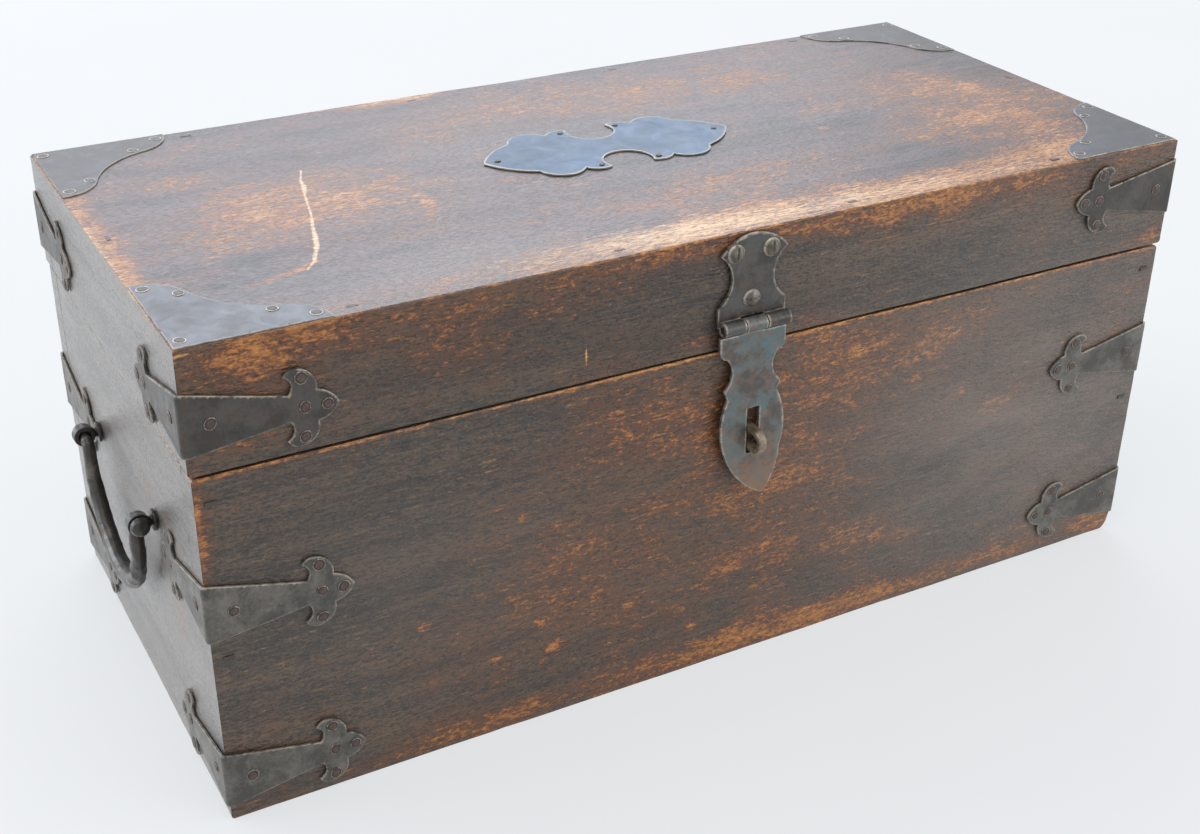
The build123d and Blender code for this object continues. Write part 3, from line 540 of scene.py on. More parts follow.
# Knife marks and a curved scratch on the left end: Y, Z and half width in millimetres.
KNIFE_A = ((-58.1, 106.4, 1.1), (-64.7, 106.1, 1.1))
KNIFE_B = ((-45.2, 94.9, 1.1), (-52.5, 95.9, 1.1))
KNIFE_C = ((-50.2, 93.7, 1.0), (-55.4, 93.0, 1.0))
KNIFE_D = ((-58.2, 86.3, 1.2), (-66.7, 84.0, 1.2))
CURVED_SCRATCH = ((-57.0, 110.3, 0.9), (-65.2, 107.3, 0.9), (-73.2, 104.3, 0.9), (-89.0, 105.6, 0.9),
                  (-106.3, 109.4, 0.9))

# Soft places of wear, grime and dust (the dust partly a painted sheen) in millimetres: the middle and reach along
# both axes of the face, and the amount.
WORN_PLACES = (
    ("wear", Face.FRONT, (
        (-190, 197, 46, 12, 0.8), (30, 200, 240, 5, 0.55), (75, 199, 70, 5, 0.7), (-118, 182, 26, 12, 0.5),
        (-206, 163, 24, 6, 0.8), (-90, 182, 120, 24, 0.4), (-48, 126, 40, 24, 0.85), (65, 130, 50, 20, 0.75),
        (20, 78, 42, 60, 0.6), (-60, 55, 80, 34, 0.4), (152, 97, 20, 13, 0.5), (34, 6, 190, 7, 1.2),
        (-227, 132, 4, 24, 1.3), (222, 160, 12, 7, 1.1), (222, 7, 16, 9, 1.3),
    )),
    ("wear", Face.TOP, (
        (50, -97, 190, 13, 1.5), (-140, -5, 62, 38, 1.0), (-185, 45, 30, 12, 0.9), (50, 65, 115, 28, 0.8),
        (180, -30, 50, 55, 1.0), (60, -50, 80, 14, 0.5), (-60, 103, 28, 5, 1.6), (-227, 0, 6, 120, 1.6),
        (-12, -62, 60, 15, 0.6),
    )),
    ("wear", Face.LEFT, (
        (-34, 112, 10, 8, 0.8), (52, 110, 10, 8, 0.8), (-60, 74, 18, 20, 0.55), (-30, 30, 60, 24, 0.35),
    )),
    ("wear", Face.RIGHT, ((0, 100, 70, 60, 0.35),)),
    ("wear", Face.BACK, ((60, 90, 150, 50, 0.3), (0, 198, 230, 7, 0.7),)),
    ("pale", Face.TOP, (
        (-22, -95, 66, 12, 0.68), (90, -98, 100, 8, 0.42), (-120, -12, 40, 20, 0.22), (-60, 105, 24, 3, 0.6),
        (-228, -20, 2, 90, 0.4),
    )),
    ("grime", Face.FRONT, ((-172, 105, 55, 42, 0.6), (60, 171, 170, 10, 0.4), (-100, 177, 115, 22, 0.5),)),
    # dust, and partly a painted sheen where the wax shows the room brightest
    ("dust_and_sheen", Face.FRONT, ((165, 80, 110, 90, 0.42), (-150, 90, 90, 60, 0.12),)),
    ("dust_and_sheen", Face.TOP, ((-120, -86, 70, 26, 0.34), (-40, 20, 130, 60, 0.12),)),
)

WEAR_MAP = (
    *(Patch(kind, face, (u, v), (wide, tall), amount)
      for kind, face, rows in WORN_PLACES for u, v, wide, tall, amount in rows),
    Stroke("wear", Face.FRONT, ((-227, 153.2, 1.0), (226, 153.2, 1.0)), 1.6),
    Stroke("pale", Face.FRONT, ((-215, 153.3, 0.8), (12, 153.3, 0.8)), 0.36),
    Stroke("pale", Face.FRONT, ((36, 153.3, 0.7), (225, 153.3, 0.7)), 0.28),
    Stroke("pale", Face.TOP, ((-131.8, 35.5, 0.4), (-136, 24, 0.5), (-136.8, 18, 1.2), (-140, 8, 0.5),
                              (-145.3, -13.6, 0.4), (-149.3, -26.6, 0.7), (-153.9, -43.2, 1.0),
                              (-160.5, -57.9, 0.7), (-165, -63, 0.3)), 0.95),
    Stroke("wear", Face.TOP, ((-158, -56, 1.0), (-172, -64, 1.8), (-191, -68, 0.8)), 1.8),
    Stroke("wear", Face.TOP, ((-110, 6, 1.0), (-99, -8, 1.6), (-98, -24, 1.6), (-103, -34, 1.0)), 1.5),
    Stroke("pale", Face.FRONT, ((-71.5, 168.1, 0.4), (-71.4, 161.7, 0.4)), 0.9),
    Stroke("grime", Face.LEFT, KNIFE_A, 1.1), Stroke("grime", Face.LEFT, KNIFE_B, 1.1),
    Stroke("grime", Face.LEFT, KNIFE_C, 1.0), Stroke("grime", Face.LEFT, KNIFE_D, 1.0),
    Stroke("wear", Face.LEFT, CURVED_SCRATCH, 1.3),
    Stroke("pale", Face.FRONT, ((-228, 201, 1.2), (-222, 203, 0.8)), 0.5),
)

# Small bare spots on the front and top: place and half size in millimetres.
BARE_SPOTS = (
    (Face.FRONT, -144, 63, 1.6), (Face.FRONT, -86, 34, 2.0), (Face.FRONT, -99, 101, 1.6),
    (Face.FRONT, -92, 48, 1.5), (Face.FRONT, -113, 37, 1.4), (Face.FRONT, -50, 43, 1.5),
    (Face.FRONT, -41, 72, 1.4), (Face.FRONT, -19, 22, 1.5), (Face.FRONT, 60, 138, 1.8),
    (Face.FRONT, 92, 117, 1.5), (Face.TOP, -16, 62, 1.6), (Face.TOP, -32, 65, 1.4),
    (Face.TOP, 12, 80, 1.2), (Face.TOP, 96, -20, 1.4),
)


@dataclass(frozen=True)
class Form:
    """Base or lid as one worn block: its corners and the worn radii of its edges, in millimetres."""

    low: np.ndarray
    high: np.ndarray
    upright: float
    end_low: Pair  # an end's lower edge: inwards and upwards
    end_high: Pair
    long_low: float  # the lower edges of front and back
    long_high: float
    seed: int
    lost_corners: tuple[Pair, Pair] | None = None  # growth of the left and right end's lower edge at the front
    lost_reach: float = 55.0  # how far from the front the lost corners go
    lost_fade: float = 40.0
    slow_size: float = 23.0  # length of an edge's slow changes
    chip_size: float = 5.0

    def wander(self, along: np.ndarray, lane: float) -> np.ndarray:
        """Growth of a worn radius along an edge: slow changes and a few short chips.

        Args:
            along: Places along the edge, in millimetres.
            lane: A number of the edge's own, so that no two edges are alike.

        Returns:
            A factor for each place.
        """
        rows = np.column_stack((along, np.full(len(along), lane), np.full(len(along), 0.5)))
        slow = drift(rows / (self.slow_size, 1, 1), self.seed)
        quick = drift(rows / (self.chip_size, 1, 1), self.seed + 50)
        return 1 + 0.5 * np.clip(slow, 0, 1) + 2.0 * np.clip(quick - 0.5, 0, 1)

    def round_off(self, points: np.ndarray) -> np.ndarray:
        """Moves points past the worn edges onto them.

        Args:
            points: Places on the block, in millimetres.

        Returns:
            The moved places.
        """
        out = points.copy()
        edges = [(0, side, 2, up, wide, tall, 1, lane + up) for side, lane in ((-1, 0.0), (1, 3.0))
                 for up, (wide, tall) in ((-1, self.end_low), (1, self.end_high))]
        edges += [(1, side, 2, up, size, size, 0, lane + up) for side, lane in ((-1, 11.0), (1, 14.0))
                  for up, size in ((-1, self.long_low), (1, self.long_high))]
        edges += [(0, side, 1, back, self.upright, self.upright, 2, 21.0 + 2 * side + back)
                  for side in (-1, 1) for back in (-1, 1)]
        for first, one, second, two, wide, tall, along, lane in edges:
            lost = None
            if self.lost_corners and (first, second, two) == (0, 2, -1):  # an end's lower edge, gone at the front
                lost = self.lost_corners[max(one, 0)]
            # no point further from the edge than this can move
            reach_a, reach_b = wide * (8 if lost else 3), tall * (14 if lost else 3)
            corner_a = (self.high if one > 0 else self.low)[first]
            corner_b = (self.high if two > 0 else self.low)[second]
            near = np.flatnonzero(
                (one * (out[:, first] - corner_a) > -reach_a) & (two * (out[:, second] - corner_b) > -reach_b))
            grow = self.wander(points[near, along], lane)
            wider, taller = wide * grow, tall * grow
            if lost:
                near_front = np.clip((self.low[1] + self.lost_reach - points[near, 1]) / self.lost_fade, 0, 1)
                wider = wide * (grow + lost[0] * near_front)
                taller = tall * (grow + lost[1] * near_front)
            a = one * (out[near, first] - corner_a) / wider + 1
            b = two * (out[near, second] - corner_b) / taller + 1
            length = np.hypot(np.clip(a, 0, None), np.clip(b, 0, None))
            past = (a > 0) & (b > 0) & (length > 1)
            pull = 1 / np.maximum(length, 1e-9)
            out[near, first] = np.where(past, corner_a + one * (a * pull - 1) * wider, out[near, first])
            out[near, second] = np.where(past, corner_b + two * (b * pull - 1) * taller, out[near, second])
        return out


@dataclass
class Board:
    """One board: a closed fine grid that is worn with its form and carries the marks of use."""

    node: str
    body: str
    finish: str
    grain: Grain = Grain.LENGTH
    step: float = 3.0
    fine: tuple[float, ...] = (0.0, 0.35, 0.7, 1.1, 1.6, 2.3, 3.2, 4.5)  # the first lines from each end
    close: tuple[tuple[int, float, float, float], ...] = ()  # axis, start, end and step of closer lines
    own_arris: float = 0.35
    hollow: float = 0.16  # depth of the slow waves of the surface
    hollow_size: float = 38.0
    ridge: float = 0.05  # depth of the grain's ridges
    ridge_size: Pair = (9.0, 2.6)
    sink_limits: Pair = (0.01, 0.4)
    rubbed_at: float = 0.7  # depth of a lost edge at which the stain is quite gone
    foot: float = 3.0  # height of the lower edge that hands don't reach
    spot_length: float = 1.5  # a bare spot's length to its height

    def lines(self, axis: int, low: float, high: float) -> list[float]:
        """Places of the grid's lines, close at both ends and where marks need it.

        Args:
            axis: The axis they stand on.
            low: The board's start on that axis.
            high: Its end.

        Returns:
            The places in rising order.
        """
        places = {round(place, 4) for f in self.fine for place in (low + f, high - f)}
        start, end = low + self.fine[-1], high - self.fine[-1]
        count = max(1, round((end - start) / self.step))
        places |= {round(start + (end - start) * i / count, 4) for i in range(1, count)}
        for which, first, last, step in self.close:
            if which == axis:
                places |= {round(first + step * i, 4) for i in range(int((last - first) / step) + 1)}
        kept = []
        for place in sorted(p for p in places if low <= p <= high):
            if not kept or place - kept[-1] > LEAST_GAP:
                kept.append(place)
        kept[-1] = high
        return kept

    def grid(self, low: np.ndarray, high: np.ndarray) -> tuple[np.ndarray, list[tuple[int, ...]]]:
        """The board's closed surface.

        Args:
            low: Its lowest corner.
            high: Its highest corner.

        Returns:
            The places and the outward four-sided faces.
        """
        lines = [self.lines(axis, low[axis], high[axis]) for axis in range(3)]
        counts = [len(x) - 1 for x in lines]
        index: dict[tuple[int, ...], int] = {}
        faces = []
        for axis, (first, second) in enumerate(((1, 2), (2, 0), (0, 1))):
            for end, i, j in itertools.product((0, counts[axis]), range(counts[first]), range(counts[second])):
                ring = []
                for di, dj in ((0, 0), (1, 0), (1, 1), (0, 1)):
                    key = [0, 0, 0]
                    key[axis], key[first], key[second] = end, i + di, j + dj
                    ring.append(index.setdefault(tuple(key), len(index)))
                faces.append(tuple(ring if end else reversed(ring)))
        return np.array([[lines[axis][key[axis]] for axis in range(3)] for key in index]), faces

    def build(self, form: Form, woods: Finishes) -> None:
        """Builds the board in place of its node.

        Args:
            form: The base or the lid, whose worn edges the board shares.
            woods: The finishes of the wood.
        """
        low, high = box_of(self.node)
        places, faces = self.grid(low, high)
        own = Form(low, high, self.own_arris, (self.own_arris,) * 2, (self.own_arris,) * 2,
                   self.own_arris, self.own_arris, form.seed + len(self.node))
        moved = form.round_off(own.round_off(places))
        wave = drift(places / self.hollow_size, form.seed)
        along, across = self.ridge_size
        sizes = (along, across, across) if self.grain is Grain.LENGTH else (across, along, across)
        ridge = self.ridge * drift(places / sizes, form.seed + 1)
        sink = np.clip(0.05 + self.hollow * (0.5 + wave) + ridge, *self.sink_limits)
        outer = {}
        for face in Face:
            axis, side = face.value[2:]
            edge = (form.high if side > 0 else form.low)[axis]
            outer[face] = np.abs(places[:, axis] - edge) < 1.0
            moved[:, axis] -= np.where(outer[face], side * sink, 0)
        mesh = bpy.data.meshes.new(self.node)
        mesh.from_pydata((moved * MM).tolist(), [], faces)
        self.mark(mesh, places, moved, outer, form)
        mesh.polygons.foreach_set("use_smooth", [True] * len(mesh.polygons))
        piece = object_from("worn_" + self.node, mesh, woods[self.finish])
        if self.finish != "end":  # each face of a long board is finished as the wall or top it is part of
            normals = np.zeros(len(mesh.polygons) * 3)
            mesh.polygons.foreach_get("normal", normals)
            normals = normals.reshape(-1, 3)
            mesh.materials.append(woods["end"])
            chosen = np.where(np.abs(normals[:, 0]) > 0.7, 1, 0)
            if self.finish == "top":
                mesh.materials.append(woods["front"])
                chosen = np.where((chosen == 0) & (normals[:, 2] < 0.7), 2, chosen)
            mesh.polygons.foreach_set("material_index", chosen.astype(np.int32))
        settle(piece, self.body, "hardwood", self.node)

    def mark(self, mesh: Mesh, places: np.ndarray, moved: np.ndarray, outer: dict[Face, np.ndarray],
             form: Form) -> None:
        """Stores wear, pale, grime, dust (partly a painted sheen) and inside at every vertex.

        Args:
            mesh: The board's mesh.
            places: Its vertices before wear, in millimetres.
            moved: The same after it.
            outer: For each outer face of the chest, which vertices lie on it.
            form: The base or the lid.
        """
        layers = {name: np.zeros(len(places)) for name in ("wear", "pale", "grime", "dust_and_sheen")}
        for mark in WEAR_MAP:
            layers[mark.kind] += np.where(outer[mark.face], mark.weigh(places), 0)
        for face, u, v, size in BARE_SPOTS:
            first, second = face.value[:2]
            gap = np.hypot((places[:, first] - u) / self.spot_length, places[:, second] - v)
            spot = np.where(outer[face], np.clip(1.6 - gap / size, 0, 1), 0)
            layers["wear"] += 1.5 * spot
            layers["pale"] += 0.25 * spot
        ends = outer[Face.LEFT] | outer[Face.RIGHT]
        top = outer[Face.TOP] & (form.high[2] > LID_LEVEL)
        rub = np.clip(np.linalg.norm(moved - places, axis=1) / self.rubbed_at, 0, 1)
        rub = np.where(places[:, 2] < form.low[2] + self.foot, 0.3 * rub, rub)
        rub = np.where(ends & ~top, 0.0, rub)
        along = drift(places / (14, 14, 9), form.seed + 2)
        layers["wear"] += rub * np.clip(0.7 + 1.3 * along, 0, 1.5)
        layers["pale"] += rub * np.clip(1.1 * along - 0.15, 0, 0.7)
        layers["inside"] = np.where(outer[Face.FRONT] | outer[Face.BACK] | ends | top, 0.0, 1.0)
        for name, values in layers.items():
            attribute = mesh.attributes.new(name, "FLOAT", "POINT")
            attribute.data.foreach_set("value", np.clip(values, 0, 1.25).astype(np.float32))


@dataclass
class Carcase:
    """The ten boards of base and lid."""

    woods: Finishes
    arris: float = 0.55
    seam_arris: float = 0.7
    seam_end: float = 1.8
    foot_arris: float = 0.6
    foot_end: float = 0.9
    lost_corners: tuple[Pair, Pair] = ((0.8, 2.6), (5.0, 12.0))

    def build(self) -> None:
        """Builds every board with its form's worn edges."""
        low = np.minimum(box_of("base_front_board")[0], box_of("base_left_end")[0])
        high = np.maximum(box_of("base_back_board")[1], box_of("base_right_end")[1])
        base = Form(low, high, self.arris, (self.foot_end,) * 2, (self.seam_end,) * 2,
                    self.foot_arris, self.seam_arris, seed=3, lost_corners=self.lost_corners)
        low = np.minimum(box_of("lid_front_rail")[0], box_of("lid_left_rail")[0])
        lid = Form(low, box_of("lid_top_board")[1], self.arris, (self.seam_end,) * 2, (self.arris,) * 2,
                   self.seam_arris, self.arris, seed=8)
        deep = Grain.DEPTH
        # closer lines under the lid's long scratch, the nick in its front and the knife marks
        scratch = ((0, -170.0, -128.0, 0.6), (1, -64.0, 40.0, 1.2))
        nick = ((0, -73.5, -69.5, 0.5),)
        cuts = ((1, -72.0, -20.0, 1.2), (2, 60.0, 112.0, 1.2))
        for form, board in (
            (base, Board("base_front_board", "base", "front", step=2.2)),
            (base, Board("base_back_board", "base", "front", step=4.0)),
            (base, Board("base_left_end", "base", "end", deep, step=2.5, close=cuts)),
            (base, Board("base_right_end", "base", "end", deep, step=4.0)),
            (base, Board("base_bottom_board", "base", "front", step=8.0)),
            (lid, Board("lid_top_board", "lid", "top", step=2.7, close=scratch)),
            (lid, Board("lid_front_rail", "lid", "front", step=2.2, close=nick)),
            (lid, Board("lid_back_rail", "lid", "front", step=4.0)),
            (lid, Board("lid_left_rail", "lid", "end", deep, step=2.5)),
            (lid, Board("lid_right_rail", "lid", "end", deep, step=4.0)),
        ):
            board.build(form, self.woods)


# ---- ironwork
@dataclass
class SheetWork:
    """Straps, plates and leaves: copies of the nodes with worn edges and a pale rim, partly dust and partly a
    painted highlight along the upper edges.
    """

    iron: Finishes
    flat: float = 1.5  # degrees up to which two faces count as one
    corner: float = 38.0  # degrees from which an edge counts as a worn one
    soft: float = 50.0  # degrees up to which an edge is shaded soft
    mark_gap: float = 0.4
    mesh: float = 1.7
    rounds: int = 9
    dent: float = 0.07
    dent_size: float = 7.0

    def dress(self, node: str, body: str, slot: str, finish: str, edge: float = 0.22, rim: float = 0.6) -> None:
        """Dresses one node.

        Args:
            node: The node it stands for.
            body: The body it rides on.
            slot: The record's material slot.
            finish: Its finish.
            edge: Width of the worn edge in millimetres.
            rim: Width of the pale rim in millimetres.
        """
        work = merged_copy(node)
        bmesh.ops.dissolve_limit(work, angle_limit=math.radians(self.flat), use_dissolve_boundaries=False,
                                 verts=work.verts, edges=work.edges)
        limit = math.radians(self.corner)
        sharp = [e for e in work.edges if len(e.link_faces) == 2 and e.calc_face_angle(0.0) > limit]
        marks = [e.verts[0].co.lerp(e.verts[1].co, (i + 0.5) / n)
                 for e in sharp for n in [max(1, round(e.calc_length() / (self.mark_gap * MM)))] for i in range(n)]
        outline = kdtree.KDTree(len(marks))
        for number, mark in enumerate(marks):
            outline.insert(mark, number)
        outline.balance()
        bmesh.ops.bevel(work, geom=sharp, offset=edge * MM, segments=2, profile=0.6, affect="EDGES",
                        clamp_overlap=False)
        for _ in range(self.rounds):
            bmesh.ops.triangulate(work, faces=work.faces)
            long = [e for e in work.edges if e.calc_length() > self.mesh * MM]
            if not long:
                break
            bmesh.ops.subdivide_edges(work, edges=long, cuts=1)
        bmesh.ops.triangulate(work, faces=work.faces)
        # pale rim along the outlines: dust and wear, and partly a painted highlight on the edges
        layer = work.verts.layers.float.new("rim")
        for vert in work.verts:
            mark, _, gap = outline.find(vert.co)
            gap /= MM
            above = 0.0 if gap < 0.05 else (mark.z - vert.co.z) / MM / gap  # the upper outlines are paler: dust, and a painted highlight where light from above catches the edge
            vert[layer] = min(1.0, max(0.0, 1.0 - (gap - edge) / rim)) * (0.8 + 0.25 * above)
        places = np.array([v.co for v in work.verts])
        for vert, depth in zip(work.verts, drift(places / (self.dent_size * MM))):
            vert.co -= vert.normal * (self.dent * MM * max(0.0, 0.6 + depth))
        soften(work, self.soft)
        settle(object_from("dressed_" + node, mesh_of(work, node), self.iron[finish]), body, slot, node)

    def build(self) -> None:
        """Dresses every sheet piece of the chest."""
        corners = [(end, side) for end in ("front", "back") for side in ("left", "right")]
        # the base straps take the lighter finish, a painted sheen
        for level, body, finish in (
            ("base_mid", "base", "painted_sheen_sheet"), ("base_low", "base", "painted_sheen_sheet"), ("lid", "lid", "strap")
        ):
            for end, side in corners:
                self.dress(f"{level}_strap_{end}_{side}", body, "sheet_iron", finish)
        for end, side in corners:
            self.dress(f"lid_plate_{end}_{side}", "lid", "sheet_iron", "plate" if end == "front" else "old_plate")
        self.dress("lid_ornament", "lid", "blued_sheet", "blued", edge=0.15, rim=1.3)
        self.dress("hasp_lid_plate", "lid", "hasp_iron", "hasp_plate", edge=0.35)
        self.dress("hasp_strap", "hasp", "hasp_iron", "hasp", edge=0.35)
        for side, body in itertools.product(("left", "right"), ("base", "lid")):
            self.dress(f"{side}_hinge_{body}_leaf", body, "forged_iron", "strap")


@dataclass
class Forged:
    """Hand-forged bars: a node remade with soft edges and the dents of the hammer."""

    iron: Finishes
    dent: float = 0.5
    dent_size: float = 7.0
    worn_size: float = 8.0
    rounds: int = 4

    def forge(self, node: str, body: str, material: Material, voxel: float) -> None:
        """Forges one node anew.

        Args:
            node: The node it stands for.
            body: The body it rides on.
            material: Its finish.
            voxel: Mesh size in millimetres.
        """
        piece = object_from("forged_" + node, mesh_of(merged_copy(node), node), material)
        remesh = piece.modifiers.new("remesh", "REMESH")
        remesh.mode, remesh.voxel_size = "VOXEL", voxel * MM
        smooth = piece.modifiers.new("smooth", "SMOOTH")
        smooth.factor, smooth.iterations = 0.5, self.rounds
        made = applied(piece)
        made.materials.clear()
        made.materials.append(material)
        places, normals = np.zeros(len(made.vertices) * 3), np.zeros(len(made.vertices) * 3)
        made.vertices.foreach_get("co", places)
        made.vertex_normals.foreach_get("vector", normals)
        places, normals = places.reshape(-1, 3), normals.reshape(-1, 3)
        depth = self.dent * MM * np.abs(drift(places / (self.dent_size * MM)))  # flats that meet in soft ridges
        made.vertices.foreach_set("co", (places - normals * depth[:, None]).ravel())
        made.polygons.foreach_set("use_smooth", [True] * len(made.polygons))
        rim = made.attributes.new("rim", "FLOAT", "POINT")
        rim.data.foreach_set("value", np.clip(drift(places / (self.worn_size * MM), 4) * 1.2 - 0.2, 0, 1))
        settle(piece, body, "forged_iron", node)

    def build(self) -> None:
        """Forges bails, eyes, collars and the staple."""
        for side in ("left", "right"):
            self.forge(f"{side}_bail", f"{side}_handle", self.iron["bar"], 0.42)
            for part in ("handle_front_eye", "handle_back_eye", "handle_collars"):
                self.forge(f"{side}_{part}", "base", self.iron["bar"], 0.3)
        self.forge("hasp_staple", "base", self.iron["staple"], 0.25)


# ---- nails and screws
def heads_of(node: str) -> list[tuple[Vector, Vector]]:
    """Finds the heads in a node of separate fasteners.

    Args:
        node: The node's name.

    Returns:
        For each fastener, the middle of its head's rim in metres and the way it looks.
    """
    work = merged_copy(node)
    found = []
    left = set(work.verts)
    while left:
        island, queue = set(), [next(iter(left))]
        while queue:
            vert = queue.pop()
            if vert not in island:
                island.add(vert)
                queue.extend(edge.other_vert(vert) for edge in vert.link_edges)
        left -= island
        points = np.array([v.co for v in island])
        centre = points.mean(axis=0)
        axis = np.linalg.svd(points - centre)[2][0]
        axis = np.eye(3)[np.argmax(np.abs(axis))]
        along = (points - centre) @ axis
        end = along[np.argmax(np.abs(along))]
        tip = points[np.abs(along - end) < 0.1 * MM].mean(axis=0)  # the end of the shank
        line = tip - np.outer(((tip - points) @ axis), axis)
        spread = np.linalg.norm(points - line, axis=1)
        middle = points[spread > spread.max() * 0.9].mean(axis=0)
        found.append((Vector(middle), Vector(axis * np.sign((middle - tip) @ axis))))
    work.free()
    return sorted(found, key=lambda head: tuple(round(c, 5) for c in head[0]))


def turned_head(name: str, profile: Sequence[Triple], sides: int, uneven: float) -> Object:
    """A closed round head one unit in radius, with what each ring shows stored with it.

    Args:
        name: The head's name.
        profile: Radius, height and ring from the top's middle outwards and down: 0 is the middle of the
            head, 0.5 the groove round it and 1 the rim.
        sides: Number of sides.
        uneven: Random change of each radius, as a share.

    Returns:
        The head, for instancing.
    """
    pick = random.Random(SEED + sides)
    work = bmesh.new()
    layer = work.verts.layers.float.new("ring")
    rings = []
    for radius, height, kind in profile:
        ring = []
        for i in range(1 if radius == 0 else sides):
            turn = math.tau * i / sides
            reach = radius * (1 + pick.uniform(-uneven, uneven))
            vert = work.verts.new((reach * math.cos(turn), reach * math.sin(turn), height))
            vert[layer] = kind
            ring.append(vert)
        rings.append(ring)
    for upper, lower in zip(rings, rings[1:]):
        for i in range(sides):
            j = (i + 1) % sides
            corners = [upper[i % len(upper)], lower[i % len(lower)], lower[j % len(lower)], upper[j % len(upper)]]
            kept = [c for k, c in enumerate(corners) if c not in corners[:k]]
            if len(kept) > 2:
                work.faces.new(kept)
    bmesh.ops.recalc_face_normals(work, faces=work.faces)
    return object_from(name, mesh_of(work, name), None)


def slotted_head(name: str) -> Object:
    """A round-topped head one unit in radius with a straight slot along X.

    Args:
        name: The head's name.

    Returns:
        The head, for instancing.
    """
    sides, rings, slot, depth = 20, 6, 0.13, 0.5
    edge = math.radians(58)  # the dome's slope at its rim
    dome = [(math.sin(a) / math.sin(edge), (math.cos(a) - math.cos(edge)) / (1 - math.cos(edge)), i / rings)
            for i, a in ((i, edge * i / rings) for i in range(rings + 1))]
    head = turned_head(name, dome + [(0.98, -0.4, 1.0), (0.0, -0.4, 0.0)], sides, 0.0)
    work = bmesh.new()
    work.from_mesh(head.data)
    for side in (-1, 1):
        bmesh.ops.bisect_plane(
            work, geom=[*work.verts, *work.edges, *work.faces], plane_co=(0, side * slot, 0), plane_no=(0, 1, 0))
    floor = [f for f in work.faces if abs(f.calc_center_median().y) < slot and f.calc_center_median().z > 0.02]
    lifted = bmesh.ops.extrude_face_region(work, geom=floor)["geom"]
    bmesh.ops.delete(work, geom=floor, context="FACES")
    for vert in {v for v in lifted if isinstance(v, bmesh.types.BMVert)}:
        vert.co.z = min(vert.co.z, 1.0 - depth)
    bmesh.ops.remove_doubles(work, verts=work.verts, dist=1e-5)
    work.to_mesh(head.data)
    work.free()
    return head


